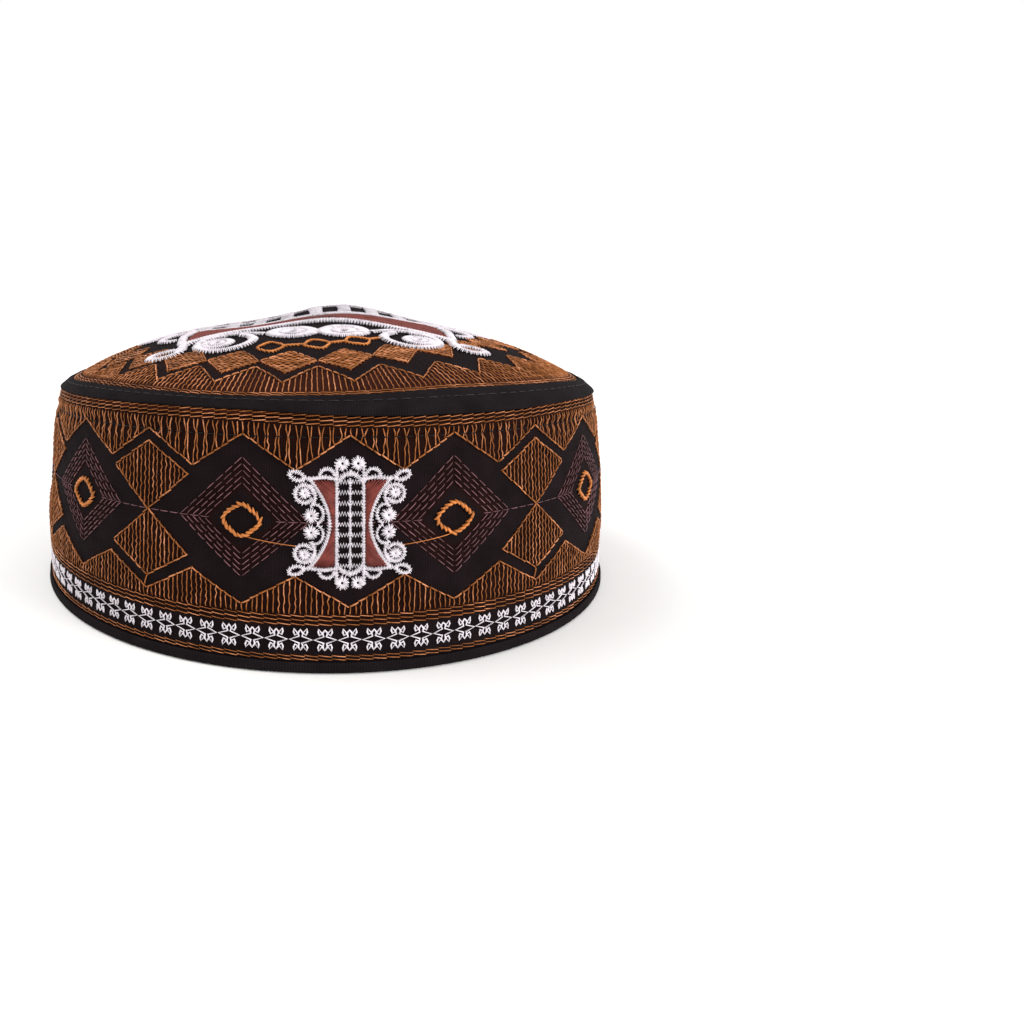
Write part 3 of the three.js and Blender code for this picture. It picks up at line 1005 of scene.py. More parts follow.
class SONGKOK_OT_bindings(bpy.types.Operator):
    """Adds the two folded black strips, one over the joint of band and crown, one round the hem"""

    bl_idname = "songkok.bindings"
    bl_label = "Bindings"

    STEPS = 420
    STRIP = 10.0  # width that the top binding is spun with, before it is folded
    ACROSS = 12
    TURNED_UNDER = 1.8  # cloth turned under at the two edges of the top binding, together
    WAVE = 0.08  # how far the strips stand in and out along their length

    def execute(self, context):
        form = Form(context.scene.songkok_sizes)
        material = woven_cloth("black_bias_strip", context.scene.songkok_colours.binding)
        self.add_top(form, material)
        self.add_hem(form, material)
        return {"FINISHED"}

    def wave(self, turn):
        """A strip that is sewn by hand round a curve is never quite even."""
        return self.WAVE * (np.sin(turn * 23 + 1) * np.sin(turn * 9) - 1)

    def add_top(self, form, material):
        """The strip is spun flat, as it is cut, and then folded over the joint."""
        wall, half, reach = form.binding_wall, form.binding_wall / 2, self.STRIP / 2
        profile = (
            arc((reach - half, half), half, 90, -90)
            + stretch_of((reach - half, 0), (half - reach, 0), self.ACROSS)[1:]
            + arc((half - reach, half), half, 270, 90)
            + stretch_of((half - reach, wall), (reach - half, wall), self.ACROSS)[1:]
        )
        mesh, turn, across, above = spun_ring("top_binding_cloth", profile, self.STEPS, form)
        above = above + self.wave(turn) * above / wall
        placed = form.on_binding(turn, across / self.STRIP + 0.5, above)
        around = turn * form.girth / (2 * math.pi)
        lay_cloth(mesh, placed, around, across, girth=form.girth)
        width = np.sum(form.binding_reach(form.turns), axis=0) + self.TURNED_UNDER
        cloth_piece(mesh, material, "top_binding")

    def add_hem(self, form, material):
        """The strip wraps the lower edge and reaches higher inside than outside."""
        wall, turned = form.binding_wall, form.hem_round
        out, inside = form.stand, -form.band_wall - form.stand
        rise, rise_inside = form.hem_binding_rise, form.hem_binding_inside
        half = wall / 2
        profile = (
            arc((inside + turned, turned), turned, 180, 270)
            + stretch_of((inside + turned, 0), (out - turned, 0), 4)[1:]
            + arc((out - turned, turned), turned, 270, 360)
            + stretch_of((out, turned), (out, rise - half), 3)[1:]
            + arc((out - half, rise - half), half, 0, 180)
            + [(out - wall, wall), (inside + wall, wall)]
            + stretch_of((inside + wall, wall), (inside + wall, rise_inside - half), 4)[1:]
            + arc((inside + half, rise_inside - half), half, 0, 180)
            + stretch_of((inside, rise_inside - half), (inside, turned), 4)[1:]
        )
        mesh, turn, out_from_face, height = spun_ring("hem_binding_cloth", profile, self.STEPS, form)
        waved = out_from_face + self.wave(turn) * (height > 1)
        around = turn * form.girth / (2 * math.pi)
        lay_cloth(mesh, form.place(turn, waved, height), around, height + out_from_face, girth=form.girth)
        cloth_piece(mesh, material, "hem_binding")


class CrownOrnament:
    """Where the crown's zigzag, chain and rings lie, as shares of its oval and angles in degrees.

    The embroidery was sewn before the cap was made up, so its frame is a little turned and shifted
    against the crown's own oval.
    """

    TURNED = 0.043  # radians, its left end towards the shown face
    SHIFT = (-4.2, 0.5)
    SQUEEZE = 0.06  # of the left end, where the frame would run under the binding
    UNDER_BINDING = 3.3  # from the top binding's upper edge to the fillings
    PEAK, VALLEY = 0.79, 0.885  # zigzag, inner and outer reach
    CHAIN, CHAIN_REACH = 0.75, 0.08
    CHAIN_LEAN = 0.075  # how much further in it lies right of the shown face and opposite
    RINGS, RING_LEAN = 0.592, 0.13  # the share at which the rings lie, less to the right
    RING_HALF = (3.9, 4.4)  # millimetres
    RING_SPAN = 0.36  # sine of the angle from the depth's axis up to which rings are sewn
    PEAK_ANGLE = -0.8

    def __init__(self, form, pattern):
        self.form = form
        self.units = pattern.crown_units
        self.step = 360 / self.units

    def plan(self, share, angle):
        """Plan coordinates on the crown's oval, at a share of it and an angle from the shown face."""
        across = share * self.form.crown_half[0] * np.sin(np.radians(angle))
        ahead = -share * self.form.crown_half[1] * np.cos(np.radians(angle))
        squeezed = np.where(across < 0, across * (1 - self.SQUEEZE * np.abs(share) ** 8), across)
        return self.laid(np.stack(np.broadcast_arrays(squeezed, ahead), axis=-1))

    def laid(self, flat):
        """Plan coordinates on the crown, of places in the embroidery's own frame."""
        return rotated(flat, self.TURNED) + self.SHIFT

    def share_and_angle(self, x, y):
        """The share and the angle of a place on the crown, the reverse of plan."""
        own = rotated(np.stack([x, y], axis=-1) - self.SHIFT, -self.TURNED) / self.form.crown_half
        own_x, own_y = own[:, 0], own[:, 1]
        share = np.hypot(own_x, own_y)
        unsqueezed = np.where(own_x < 0, own_x / (1 - self.SQUEEZE * np.minimum(share, 1.0) ** 8), own_x)
        return np.hypot(unsqueezed, own_y), np.degrees(np.arctan2(unsqueezed, -own_y))

    def edge(self, angle):
        """The share at which a ray of the frame meets the rows along the top binding."""
        shares = np.linspace(0.8, 1.0, 41)
        own = self.plan(shares, angle) / self.form.crown_half
        inset = (1 - np.hypot(own[:, 0], own[:, 1])) * self.form.face_radius
        turn = np.arctan2(own[:, 0], -own[:, 1])
        spare = inset - self.form.binding_edge("cover", turn) - self.UNDER_BINDING
        return float(np.interp(0.0, -spare, shares))

    def away(self, angle):
        """How far an angle is from the nearest peak of the zigzag, as a share of the way to the valley."""
        unit = (angle - self.PEAK_ANGLE) / self.step
        return 2 * np.abs(unit - np.round(unit))

    def zigzag(self, angle):
        """The share at which the zigzag lies."""
        return self.PEAK + (self.VALLEY - self.PEAK) * self.away(angle)

    def chain_middle(self, angle):
        """The share at which the middle of the chain lies."""
        return self.CHAIN - self.CHAIN_LEAN * np.maximum(0.0, np.sin(np.radians(2 * angle)))

    def chain_half(self, angle):
        """Half of the chain's width, as a share."""
        return self.CHAIN_REACH * self.away(angle)

    def chain_corners(self, unit):
        """The corners of one diamond of the chain."""
        middle = self.PEAK_ANGLE + (unit + 0.5) * self.step
        angles = middle + self.step * np.array([-0.49, 0, 0.49, 0])
        reach = self.CHAIN_REACH * np.array([0, 1, 0, -1])
        return self.plan(self.chain_middle(angles) + reach, angles)

    def ring_place(self, unit):
        """The middle of one of the rings."""
        angle = self.PEAK_ANGLE + unit * self.step
        return self.plan(self.RINGS - self.RING_LEAN * math.sin(math.radians(angle)), angle)

    def has_ring(self, unit):
        """Rings are sewn where the crown's lace leaves room."""
        return abs(math.sin(math.radians(self.PEAK_ANGLE + unit * self.step))) < self.RING_SPAN


class SONGKOK_OT_fillings(bpy.types.Operator):
    """Adds the wavy lines of gold thread that fill the brown fields of the band and the crown"""

    bl_idname = "songkok.fillings"
    bl_label = "Fillings"

    RADIUS = 0.17
    STITCH, SHORTEST = 2.3, 0.8
    WAVER, CROWN_WAVER = 0.24, 0.1
    CREST, DIP = 0.3, 0.02  # lifts of a stitch's middle and of its ends
    SEAM_DEPTH = 0.35
    PINCH = 0.75  # how far the lines of a pair are drawn together at the seam
    RAY_SHARE = 0.87  # share of the oval at which the crown's rays stand their spacing apart
    CHAIN_THICKNESS = 1.45

    def execute(self, context):
        form = Form(context.scene.songkok_sizes)
        pattern = context.scene.songkok_pattern
        # pale whitens the gold's lightest stitches: a painted sheen.
        material = embroidery_thread("gold_rayon_thread", context.scene.songkok_colours.gold, pale=0.1)
        self.fill_band(form, pattern, material)
        self.fill_crown(form, pattern, material)
        return {"FINISHED"}

    def line(self, threads, spot, path, waver, thickness=1.0):
        """One wavy line of stitches along a path in the plane."""
        path = np.array(path, dtype=float)
        size = np.linalg.norm(np.diff(path, axis=0), axis=1).sum()
        if size < self.SHORTEST:
            return
        stitches = max(1, round(size / (self.STITCH * threads.random.uniform(0.8, 1.2))))
        flat = resample(path, size / (2 * stitches))
        crest = np.arange(len(flat)) % 2 == 1
        wavers = waver * threads.random.uniform(-1, 1, len(flat)) * np.where(crest, 0.5, 1.0)
        flat = flat + normals_of(flat) * wavers[:, None]
        lifts = np.where(crest, self.CREST, self.DIP)
        threads.strand(spot(flat, lifts), np.where(crest, 1.0, 0.8) * thickness)

    def fill_band(self, form, pattern, material):
        """Upright lines. At the seam each pair of them is pulled together."""
        ornament = Ornament(form, pattern)
        threads = Threads("band_fillings", self.RADIUS, seed=11)
        columns = 2 * round(form.girth / (pattern.fill_spacing / MM) / 2)
        pitch = form.girth / columns

        def spot(flat, lift):
            pressed = ornament.pressed(flat[:, 1])
            return form.on_band(flat, lift * (1 - pressed) - self.SEAM_DEPTH * pressed)

        for column in range(columns):
            along = (column + 0.5) * pitch
            pair = (column - column % 2 + 1) * pitch
            pinched = along + (pair - along) * self.PINCH
            for low, high in ornament.filled_spans(float(ornament.unit(along))):
                crosses = low < ornament.SEAM - 1 and high > ornament.SEAM
                knot = [(pinched, ornament.SEAM)] if crosses else []
                self.line(threads, spot, [(along, low), *knot, (along, high)], self.WAVER)
        threads.finish(material)

    def fill_crown(self, form, pattern, material):
        """Lines along the rays in the triangles, and across the chain's diamonds."""
        ornament = CrownOrnament(form, pattern)
        threads = Threads("crown_fillings", self.RADIUS, seed=12)
        rim = math.pi * (form.crown_half[0] + form.crown_half[1]) * self.RAY_SHARE
        rays = round(rim / (pattern.fill_spacing / MM))
        for ray in range(rays):
            angle = 360 * ray / rays
            ends = ornament.plan(np.array([ornament.edge(angle), ornament.zigzag(angle)]), angle)
            self.line(threads, form.on_crown, ends, self.CROWN_WAVER)

        rows = round(2 * ornament.CHAIN_REACH * form.crown_half[1] / (pattern.chain_spacing / MM))
        for unit in range(ornament.units):
            corners = ornament.chain_corners(unit)
            for row in range(1, rows):
                share = row / rows
                reach = min(share, 1 - share) * 2
                middle = corners[1] + (corners[3] - corners[1]) * share
                half = (corners[2] - corners[0]) / 2 * reach
                ends = [middle - half, middle + half]
                self.line(threads, form.on_crown, ends, self.CROWN_WAVER, self.CHAIN_THICKNESS)
        threads.finish(material)


class SONGKOK_OT_outlines(bpy.types.Operator):
    """Adds the gold outlines of the fields and the running rows along both edges and the crown"""

    bl_idname = "songkok.outlines"
    bl_label = "Outlines and rows"

    RADIUS = 0.21
    ROWS_UNDER_BINDING = (0.55, 1.55, 2.55)  # below the top binding's edge
    ROWS_OVER_BINDING = ((0.7, 0.8), (1.6, 0.35), (2.5, 0.35))  # in from its upper edge, and slant
    ROW_HEIGHTS = (15.5, 14.4, 13.2, 4.5, 3.6)
    LINK_END = (-0.8, 0.6)  # from the lower zigzag's tip, of the line from the diamond over it

    def execute(self, context):
        form = Form(context.scene.songkok_sizes)
        pattern = context.scene.songkok_pattern
        gold = context.scene.songkok_colours.gold
        # A lighter copy of the gold: its raised light end and pale are painted highlight and sheen.
        material = embroidery_thread("gold_rayon_outline_thread", gold, light=2.4, pale=0.1)
        self.sew_band(form, Ornament(form, pattern), material)
        self.sew_crown(form, CrownOrnament(form, pattern), material)
        return {"FINISHED"}

    def outline(self, threads, spot, path):
        """Sews each side of a path with stitches of its own, so that its corners stay sharp."""
        for edge in zip(path[:-1], path[1:]):
            running_stitches(threads, spot, edge, stitch=2.4, gap=0.1, slant=0.15, lift=0.4, wobble=0.12)

    def row(self, threads, form, spot, place, slant=0.4):
        """A row of stitches right round the cap."""
        path = round_path(form, place)
        running_stitches(threads, spot, path, stitch=3.8, gap=-0.3, slant=slant, thick=0.62)

    def sew_band(self, form, ornament, material):
        """The two zigzags, the small diamonds with their links, and the rows along both edges."""
        threads = Threads("band_outlines", self.RADIUS, seed=21)

        def under_binding(flat, lift):
            turn = form.turn_at(flat[:, 0])
            return form.on_rim(turn, form.binding_edge("low", turn) - flat[:, 1], lift)

        halves = np.arange(-2 * ornament.UNITS_OF_HALF, 2 * ornament.UNITS_OF_HALF + 1) / 2
        along = ornament.along(halves)
        for zigzag in (ornament.upper, ornament.lower):
            self.outline(threads, form.on_band, np.stack([along, zigzag(halves)], axis=-1))
        for unit in ornament.pair_units():
            left, middle, right = ornament.along(unit + ornament.DIAMOND_HALF * np.array([-1, 0, 1]))
            for diamond in ornament.SMALL_DIAMONDS:
                top, low = (middle, diamond["high"]), (middle, diamond["low"])
                sides = ((right, diamond["side"]), (left, diamond["side"]))
                self.outline(threads, form.on_band, np.array([top, sides[0], low, sides[1], top]))
            link = (middle + self.LINK_END[0], ornament.TIP + self.LINK_END[1])
            self.outline(threads, form.on_band, np.array([(middle, ornament.LOWER_DIAMOND["low"]), link]))
        for drop in self.ROWS_UNDER_BINDING:
            self.row(threads, form, under_binding, drop)
        for height in self.ROW_HEIGHTS:
            self.row(threads, form, form.on_band, height)
        threads.finish(material)

    def sew_crown(self, form, ornament, material):
        """The zigzag, the chain, and the rows along the top binding."""
        threads = Threads("crown_outlines", self.RADIUS, seed=22)

        def over_binding(flat, lift):
            turn = form.turn_at(flat[:, 0])
            inset = form.binding_edge("cover", turn) + flat[:, 1]
            return form.place(turn, -inset, form.crown_rim_top + lift, True)

        halves = ornament.PEAK_ANGLE + np.arange(2 * ornament.units + 1) / 2 * ornament.step
        self.outline(threads, form.on_crown, ornament.plan(ornament.zigzag(halves), halves))
        for unit in range(ornament.units):
            corners = ornament.chain_corners(unit)
            self.outline(threads, form.on_crown, np.concatenate([corners, corners[:1]]))
        for inset, slant in self.ROWS_OVER_BINDING:
            self.row(threads, form, over_binding, inset, slant)
        threads.finish(material)


class SONGKOK_OT_plum_diamonds(bpy.types.Operator):
    """Adds the nested diamonds of plum thread and the line that joins them"""

    bl_idname = "songkok.plum_diamonds"
    bl_label = "Plum diamonds"

    RADIUS = 0.14
    LINK_END = 0.98  # of a unit, where the line towards the next diamond ends

    def execute(self, context):
        form = Form(context.scene.songkok_sizes)
        ornament = Ornament(form, context.scene.songkok_pattern)
        threads = Threads("plum_diamonds", self.RADIUS, seed=31)
        for unit in ornament.plum_units():
            middle, height = ornament.along(unit), ornament.CROSSING
            pitch = ornament.pitch if abs(unit) <= ornament.EVEN_UNITS else ornament.rear_pitch
            outermost = ornament.PLUM_HALF * pitch
            for nest in range(ornament.PLUM_NESTED):
                share = 1 - nest * ornament.PLUM_STEP / outermost
                half, up, down = outermost * share, ornament.PLUM_UP * share, ornament.PLUM_DOWN * share
                corners = [
                    (middle - half, height),
                    (middle, height + up),
                    (middle + half, height),
                    (middle, height - down),
                    (middle - half, height),
                ]
                for edge in zip(corners[:-1], corners[1:]):
                    running_stitches(threads, form.on_band, edge, stitch=2.7, gap=0.6, lift=0.28, wobble=0.06)
            inner = outermost - ornament.PLUM_NESTED * ornament.PLUM_STEP
            for side in (-1, 1):
                end = ornament.along(unit + side * self.LINK_END)
                path = [(middle + side * inner, height), (end, height)]
                running_stitches(threads, form.on_band, path, stitch=2.4, gap=0.5, lift=0.28)
        material = embroidery_thread("plum_rayon_thread", context.scene.songkok_colours.plum, light=1.9)
        threads.finish(material)
        return {"FINISHED"}


class SONGKOK_OT_rope_rings(bpy.types.Operator):
    """Adds the small rings of slanted rope stitch on band and crown, and the thread left loose"""

    bl_idname = "songkok.rope_rings"
    bl_label = "Rope rings"

    RADIUS = 0.42
    HALF = (5.1, 4.2)  # of a ring on the band, along it and upwards
    ROUNDNESS = 1.35  # power of a ring's outline, for which 1 is a diamond and 2 an ellipse
    THICKNESS, CROWN_THICKNESS = 0.9, 0.5
    CROWN_SCALE = 0.75  # of the crown's rope to the band's
    PITCH, STITCH = 1.4, 2.0  # from one stitch of the rope to the next, and each one's length
    LOOSE_RADIUS = 0.28  # of the loose thread, as a share of the rope's
    LOOSE_ACROSS, LOOSE_DROP = (0.6, 14.5), 1.9  # its run, from the ring's lowest point
    LOOSE_LIFTS = (0.1, 0.6, 0.75, 0.8, 0.75, 0.6, 0.3)

    def execute(self, context):
        form = Form(context.scene.songkok_sizes)
        pattern = context.scene.songkok_pattern
        threads = Threads("rope_rings", self.RADIUS, seed=41)
        self.sew_band(threads, form, Ornament(form, pattern))
        self.sew_crown(threads, form, CrownOrnament(form, pattern))
        colour = context.scene.songkok_colours.rope
        threads.finish(embroidery_thread("orange_rope_thread", colour, light=1.5, dark=0.5))
        return {"FINISHED"}

    def rope(self, threads, spot, path, thickness, scale=1.0, closed=False):
        """Stitches along a path that each lie aslant to it, like the turns of a rope."""
        points = resample(path, self.PITCH * scale, closed)
        across = np.array([-0.5, -0.25, 0.2, 0.5])
        for point, left in zip(points, normals_of(points, closed)):
            forward = np.array([left[1], -left[0]])
            reach = forward * self.STITCH * scale - left * thickness
            flat = point + across[:, None] * reach * threads.random.uniform(0.85, 1.15)
            flat += left * 0.12 * threads.random.uniform(-1, 1)
            thick = np.array([0.5, 1, 1, 0.55]) * scale
            threads.strand(spot(flat, np.array([0.05, 0.6, 0.6, 0.05]) * scale), thick)

    def ring(self, half):
        """The path of a ring, a rounded diamond."""
        angle = np.radians(np.arange(0, 360, 6))
        power = self.ROUNDNESS
        out = (np.abs(np.cos(angle)) ** power + np.abs(np.sin(angle)) ** power) ** (-1 / power)
        return np.stack([half[0] * out * np.cos(angle), half[1] * out * np.sin(angle)], axis=-1)

    def sew_band(self, threads, form, ornament):
        """A ring in the middle of each plum diamond."""
        for unit in ornament.plum_units():
            centre = np.array([float(ornament.along(unit)), ornament.CROSSING])

            def spot(flat, lift, centre=centre):
                return form.on_band(centre + flat, lift)

            self.rope(threads, spot, self.ring(self.HALF), self.THICKNESS, closed=True)
            if abs(unit) == 1:
                self.carry_on(threads, spot, -unit)

    def carry_on(self, threads, spot, side):
        """The thread left loose between a ring beside the medallion and the stitches of its lace."""
        shares = np.linspace(0, 1, len(self.LOOSE_LIFTS))
        along = side * np.interp(shares, (0, 1), self.LOOSE_ACROSS)
        flat = np.stack([along, -self.HALF[1] - self.LOOSE_DROP * shares], axis=-1)
        threads.strand(spot(flat, np.array(self.LOOSE_LIFTS)), self.LOOSE_RADIUS, tint=0.2)

    def sew_crown(self, threads, form, ornament):
        """The crown's rings are smaller, and a short rope links each to the next."""
        for unit in filter(ornament.has_ring, range(ornament.units)):
            centre = ornament.ring_place(unit)
            chord = ornament.ring_place(unit + 1) - centre
            turn = math.atan2(chord[1], chord[0])

            def spot(flat, lift, centre=centre, turn=turn):
                return form.on_crown(centre + rotated(flat, turn), lift)

            half = ornament.RING_HALF
            self.rope(threads, spot, self.ring(half), self.CROWN_THICKNESS, self.CROWN_SCALE, closed=True)
            link = [(half[0], 0.0), (np.linalg.norm(chord) - half[0], 0.0)]
            self.rope(threads, spot, link, self.CROWN_THICKNESS, self.CROWN_SCALE)


class SONGKOK_OT_star_row(bpy.types.Operator):
    """Adds the row of white stars, each with two pairs of leaves, round the lower edge"""

    bl_idname = "songkok.star_row"
    bl_label = "Star row"

    RADIUS = 0.26
    # Upper right quarter of a star, from its tip to its side.
    OUTLINE = ((0.0, 2.75), (0.5, 2.05), (0.62, 1.75), (0.36, 0.9), (2.85, 0.0))
    LOWER_SCALE = 1.04  # of its lower half to its upper one
    LEAF = ((0.62, 1.75), (1.62, 3.0), (1.75, 2.1), (1.45, 1.25))

    def execute(self, context):
        form = Form(context.scene.songkok_sizes)
        pattern = context.scene.songkok_pattern
        threads = Threads("star_row", self.RADIUS, seed=51)
        height = pattern.star_height / MM
        lower = [(x, -y * self.LOWER_SCALE) for x, y in reversed(self.OUTLINE[:-1])]
        right = [*self.OUTLINE, *lower]
        outline = right + [(-x, y) for x, y in reversed(right[1:-1])]
        pitch = form.girth / pattern.star_count
        for star in range(pattern.star_count):
            along = star * pitch + pattern.medallion_shift / MM
            tint = threads.random.uniform(0.4, 1.0)
            self.stroke(threads, form, outline, along, height, tint)
            for side in (-1, 1):
                for level in (-1, 1):
                    leaf = [(side * x, level * y) for x, y in self.LEAF]
                    self.stroke(threads, form, leaf, along, height, tint)
        # A little darker than the front lace's copy of the same white: painted shade.
        material = embroidery_thread(
            "white_rayon_star_thread", context.scene.songkok_colours.white, light=1.0, dark=0.6, roughness=0.5
        )
        threads.finish(material)
        return {"FINISHED"}

    def stroke(self, threads, form, points, along, height, tint):
        """One closed line of a star, sewn a little unevenly."""
        flat = np.array(points) + np.array([along, height])
        flat += threads.random.uniform(-0.06, 0.06, flat.shape)
        lift = threads.random.uniform(0.15, 0.3, len(flat))
        threads.strand(form.on_band(flat, lift), closed=True, tint=tint)


BORDER_WAIST, BORDER_FLARE, BORDER_TOP = 5.15, 5.1, 11.4  # of the medallion's hollow side border
BORDER_POWER = 1.9


def side_border(top, outward=0.0):
    """Path of the medallion's side border from its waist to a height, or of a line outside it."""
    heights = np.linspace(0, top, 12)
    reach = BORDER_WAIST + BORDER_FLARE * (heights / BORDER_TOP) ** BORDER_POWER
    return np.stack([reach + outward, heights], axis=-1)


QUARTERS = ((1, 1), (-1, 1), (1, -1), (-1, -1))
ENDS = ((1, 1), (1, -1))
SIDES = ((1, 1), (-1, 1))

# Satin columns of the lace medallion, in millimetres from its middle. Each is drawn once in the
# upper right quarter and mirrored to all four, or to the signs of its copies. On the crown some
# differ.
LACE_COLUMNS = (
    {"part": "rail", "width": 0.9, "path": [(3.45, 0), (3.45, 15.6)]},
    {"part": "centre rail", "width": 0.5, "path": [(0, 0), (0, 11.6)], "copies": ENDS},
    {"part": "top arch", "width": 1.3, "path": [(2.8, 11.2), (1.7, 12.5), (0, 13.0)]},
    {"part": "side border", "width": 1.05, "path": side_border(BORDER_TOP),
     "on_crown": {"width": 1.7, "path": side_border(BORDER_TOP, 0.3)}},
    {"part": "end border", "width": 1.0, "path": [(3.6, 11.5), (6.5, 12.0), (10.3, 11.5)]},
    {"part": "half loop", "width": 0.9, "path": ellipse((5.9, 12.4), (1.9, 1.7), 0, 180)},
    {"part": "corner arm", "width": 1.1, "path": [(10.3, 11.5), (12.0, 11.7)],
     "on_crown": {"path": [(9.9, 11.3), (12.4, 11.3)]}},
    {"part": "corner eyelet", "width": 1.0, "path": ellipse((13.7, 12.2), (2.0, 1.05), tilt=18),
     "closed": True, "on_crown": {"path": ellipse((12.5, 12.6), (0.75, 1.25))}},
    {"part": "big scroll", "width": 1.05, "path": ellipse((11.7, 7.7), (2.35, 2.3), -150, 175)},
    {"part": "scroll stem", "width": 0.85, "path": [(10.0, 9.9), (9.0, 8.4), (8.9, 6.4), (9.9, 4.6)]},
    {"part": "small stem", "width": 0.75, "path": ellipse((9.0, 2.6), (2.2, 2.5), 80, 250),
     "on_crown": {"copies": ()}},
)
# Round flowers: two at each end, one in each big scroll and one for each small scroll.
LACE_FLOWERS = (
    {"part": "end flower", "centre": (2.0, 15.4), "radius": 1.8, "hole": 0.2},
    {"part": "big scroll's middle", "centre": (11.6, 7.95), "radius": 1.6, "hole": 0.12,
     "on_crown": {"centre": (11.8, 8.35), "radius": 1.4}},
    {"part": "small scroll", "centre": (9.9, 2.15), "radius": 1.95, "hole": 0.15,
     "on_crown": {"centre": (9.6, 2.2), "radius": 2.2}},
)
CROWN_RINGS = ((0.78, 0.5), (0.34, 0.36))  # a flower there is two rings: reach and width over its radius
LACE_RUNGS = (0.0, 2.7, 5.4, 8.1, 10.8)
RUNG_ENDS = (0.3, 3.1)
RUNG_REACH = 0.55  # of the rung's zigzag, to either side
RUNG_THICKNESS = 1.35
SATIN_INNER, SATIN_INNER_END = 3.9, 9.6  # the red satin starts along the rail, up to this height
SATIN_TOP, SATIN_TOP_INNER = 11.2, 4.9  # and ends on the side border, then along the end border
SATIN_INSIDE = -0.2  # from the side border's middle
SATIN_SPACING = 2.2  # over the spacing of the white stitches
SATIN_LONGEST = 7  # a longer stitch is laid in pieces


def drawn(parts, on_crown):
    """Parts of the lace with what differs on the crown, if they are sewn there."""
    return [{**part, **part.get("on_crown", {})} for part in parts] if on_crown else parts


def sew_lace(white, red, spot, scale, width_scale, spacing, on_crown=False):
    """Sews the lace medallion. spot takes its plane coordinates, already scaled."""
    sew_satin(red, spot, scale, SATIN_SPACING * spacing)
    rise = 0.42 + 0.12 * (width_scale - 1)
    for column in drawn(LACE_COLUMNS, on_crown):
        width, closed = column["width"] * width_scale, column.get("closed", False)
        for signs in column.get("copies", QUARTERS):
            path = np.asarray(column["path"], dtype=float) * signs * scale
            satin_column(white, spot, path, width, spacing, closed, rise)
    for flower in drawn(LACE_FLOWERS, on_crown):
        radius = flower["radius"] * scale
        for signs in QUARTERS:
            centre = np.array(flower["centre"]) * signs * scale
            if not on_crown:
                pompon(white, spot, centre, radius, round(12 * radius), flower["hole"])
                continue
            for reach, width in CROWN_RINGS:
                path = ellipse(centre, (reach * radius, reach * radius))
                satin_column(white, spot, path, width * radius, spacing, closed=True, ragged=0.12)
    for height in LACE_RUNGS:
        for signs in QUARTERS if height else SIDES:
            points = 2 * round(4.5 * scale**0.8) + 1
            across = np.linspace(*RUNG_ENDS, points)
            reach = np.where(np.arange(points) % 2 == 0, -1.0, 1.0) * RUNG_REACH
            reach *= white.random.uniform(0.75, 1.15, points)
            flat = np.stack([across, height + reach], axis=-1) * signs * scale
            white.strand(spot(flat, np.full(points, 0.3)), RUNG_THICKNESS)


def sew_satin(red, spot, scale, spacing):
    """Fills the fields beside the rails with stitches that fan out from the rail to the borders."""
    fine = 0.1
    side = side_border(SATIN_TOP, SATIN_INSIDE)
    outer = resample(np.concatenate([side, [(SATIN_TOP_INNER, SATIN_TOP)]]), fine)
    rows = round(len(outer) * fine * scale / spacing)
    for row in range(rows + 1):
        share = row / rows
        end = outer[round(share * (len(outer) - 1))]
        start = np.array([SATIN_INNER, SATIN_INNER_END * share])
        count = max(1, round(np.linalg.norm(end - start) * scale / SATIN_LONGEST))
        for signs in QUARTERS:
            cuts = np.linspace(0, 1, count + 1)
            cuts[1:-1] += 0.12 * red.random.uniform(-1, 1, count - 1)
            for first, last in zip(cuts[:-1], cuts[1:]):
                along = np.linspace(first, last, 4)[:, None]
                flat = (start * (1 - along) + end * along) * signs * scale
                red.strand(spot(flat, np.array([0.25, 0.4, 0.4, 0.25])), np.array([0.9, 1, 0.85, 0.7]))


class SONGKOK_OT_front_lace(bpy.types.Operator):
    """Adds the white lace medallion and its red satin, in the middle of the shown face"""

    bl_idname = "songkok.front_lace"
    bl_label = "Front lace"

    RADIUS, SATIN_RADIUS = 0.17, 0.238
    SPACING, LIFT = 0.4, 0.1

    def execute(self, context):
        form = Form(context.scene.songkok_sizes)
        pattern = context.scene.songkok_pattern
        colours = context.scene.songkok_colours
        middle = np.array([pattern.medallion_shift, pattern.medallion_height]) / MM

        def spot(flat, lift):
            return form.on_band(middle + flat, lift + self.LIFT)

        white = Threads("front_lace", self.RADIUS, seed=61)
        red = Threads("front_satin", self.SATIN_RADIUS, seed=62)
        sew_lace(white, red, spot, 1.0, 1.0, self.SPACING)
        white.finish(
            embroidery_thread("white_rayon_lace_thread", colours.white, light=1.1, dark=0.75, roughness=0.5),
        )
        red.finish(embroidery_thread("red_satin_thread", colours.red, light=1.7))
        return {"FINISHED"}


class SONGKOK_OT_crown_lace(bpy.types.Operator):
    """Adds the same medallion, larger and turned along the cap's length, on top of the crown"""

    bl_idname = "songkok.crown_lace"
    bl_label = "Crown lace"

    RADIUS, SATIN_RADIUS = 0.24, 0.36
    SPACING, LIFT = 0.52, 0.25
    WIDTH_SCALE = 2.4

    def execute(self, context):
        form = Form(context.scene.songkok_sizes)
        pattern = context.scene.songkok_pattern
        colours = context.scene.songkok_colours
        ornament = CrownOrnament(form, pattern)

        def spot(flat, lift):
            return form.on_crown(ornament.laid(flat[:, ::-1]), lift + self.LIFT)

        white = Threads("crown_lace", self.RADIUS, seed=71)
        red = Threads("crown_satin", self.SATIN_RADIUS, seed=72)
        sew_lace(white, red, spot, pattern.crown_lace_scale, self.WIDTH_SCALE, self.SPACING, on_crown=True)
        # A darker copy of the front lace's white: painted shade against the stronger light on the crown's
        # top.
        white.finish(
            embroidery_thread("shaded_white_rayon_crown_thread", colours.white, light=0.7, dark=0.42, roughness=0.5),
        )
        # A darker copy of the front satin's red: painted shade.
        satin = embroidery_thread("shaded_red_satin_crown_thread", colours.red, light=1.1, dark=0.35)
        red.finish(satin)
        return {"FINISHED"}


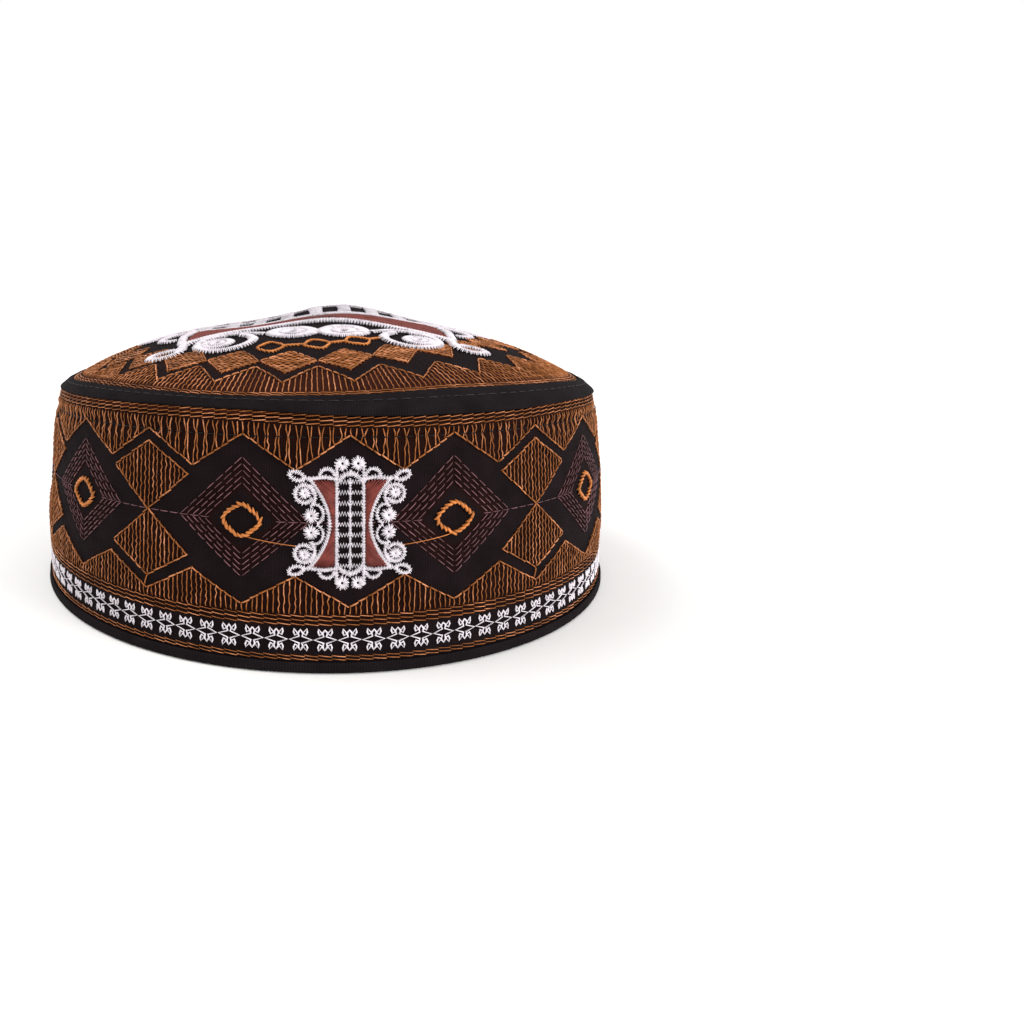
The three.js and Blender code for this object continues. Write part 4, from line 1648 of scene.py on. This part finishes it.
class SONGKOK_OT_seams(bpy.types.Operator):
    """Adds the black machine seam through the band's upper filling and the stitches of the binding"""

    bl_idname = "songkok.seams"
    bl_label = "Seams"

    RADIUS = 0.18
    DEPTH = 0.45  # how far the band's seam is sunk into the cloth
    STRIP_SEAM = 0.55  # share of the way from the top binding's lower edge to its upper one

    def execute(self, context):
        form = Form(context.scene.songkok_sizes)
        colours = context.scene.songkok_colours
        threads = Threads("machine_seams", self.RADIUS, seed=81)

        def on_band(flat, lift):
            return form.on_band(flat, lift - self.DEPTH)

        def on_strip(flat, lift):
            above = form.binding_wall + 0.6 * lift - 0.1
            return form.on_binding(form.turn_at(flat[:, 0]), self.STRIP_SEAM, above)

        seam, strip = round_path(form, Ornament.SEAM), round_path(form, 0.0)
        running_stitches(threads, on_band, seam, stitch=2.3, gap=0.8, tint=0.0)
        running_stitches(threads, on_strip, strip, stitch=3.0, gap=0.9, lift=0.25, thick=0.7, tint=1.0)
        material = embroidery_thread("black_sewing_thread", colours.dark, light=5.0, dark=0.6, roughness=0.6)
        threads.finish(material)
        return {"FINISHED"}


class SONGKOK_PT_panel(bpy.types.Panel):
    """Lists the cap's pieces, sizes and colours"""

    bl_label = "Songkok"
    bl_idname = "SONGKOK_PT_panel"
    bl_space_type = "VIEW_3D"
    bl_region_type = "UI"
    bl_category = "Songkok"

    def draw(self, context):
        layout = self.layout
        for operator in OPERATORS:
            layout.operator(operator.bl_idname)
        for group in (
            context.scene.songkok_sizes,
            context.scene.songkok_pattern,
            context.scene.songkok_colours,
        ):
            box = layout.box()
            for name in group.__annotations__:
                box.prop(group, name)


OPERATORS = (
    SONGKOK_OT_stage,
    SONGKOK_OT_side_band,
    SONGKOK_OT_crown,
    SONGKOK_OT_bindings,
    SONGKOK_OT_fillings,
    SONGKOK_OT_outlines,
    SONGKOK_OT_plum_diamonds,
    SONGKOK_OT_rope_rings,
    SONGKOK_OT_star_row,
    SONGKOK_OT_front_lace,
    SONGKOK_OT_crown_lace,
    SONGKOK_OT_seams,
)
GROUPS = {
    "songkok_sizes": SongkokSizes,
    "songkok_pattern": SongkokPattern,
    "songkok_colours": SongkokColours,
}


def register():
    """Makes the classes and the scene's settings known to Blender."""
    for kind in (*GROUPS.values(), *OPERATORS, SONGKOK_PT_panel):
        bpy.utils.register_class(kind)
    for name, group in GROUPS.items():
        setattr(bpy.types.Scene, name, bpy.props.PointerProperty(type=group))


def unregister():
    """Takes them away again."""
    for name in GROUPS:
        delattr(bpy.types.Scene, name)
    for kind in (SONGKOK_PT_panel, *reversed(OPERATORS), *GROUPS.values()):
        bpy.utils.unregister_class(kind)


def main():
    """Builds the stage and every piece."""
    register()
    for operator in OPERATORS:
        getattr(bpy.ops.songkok, operator.bl_idname.split(".")[1])()


if __name__ == "__main__":
    main()
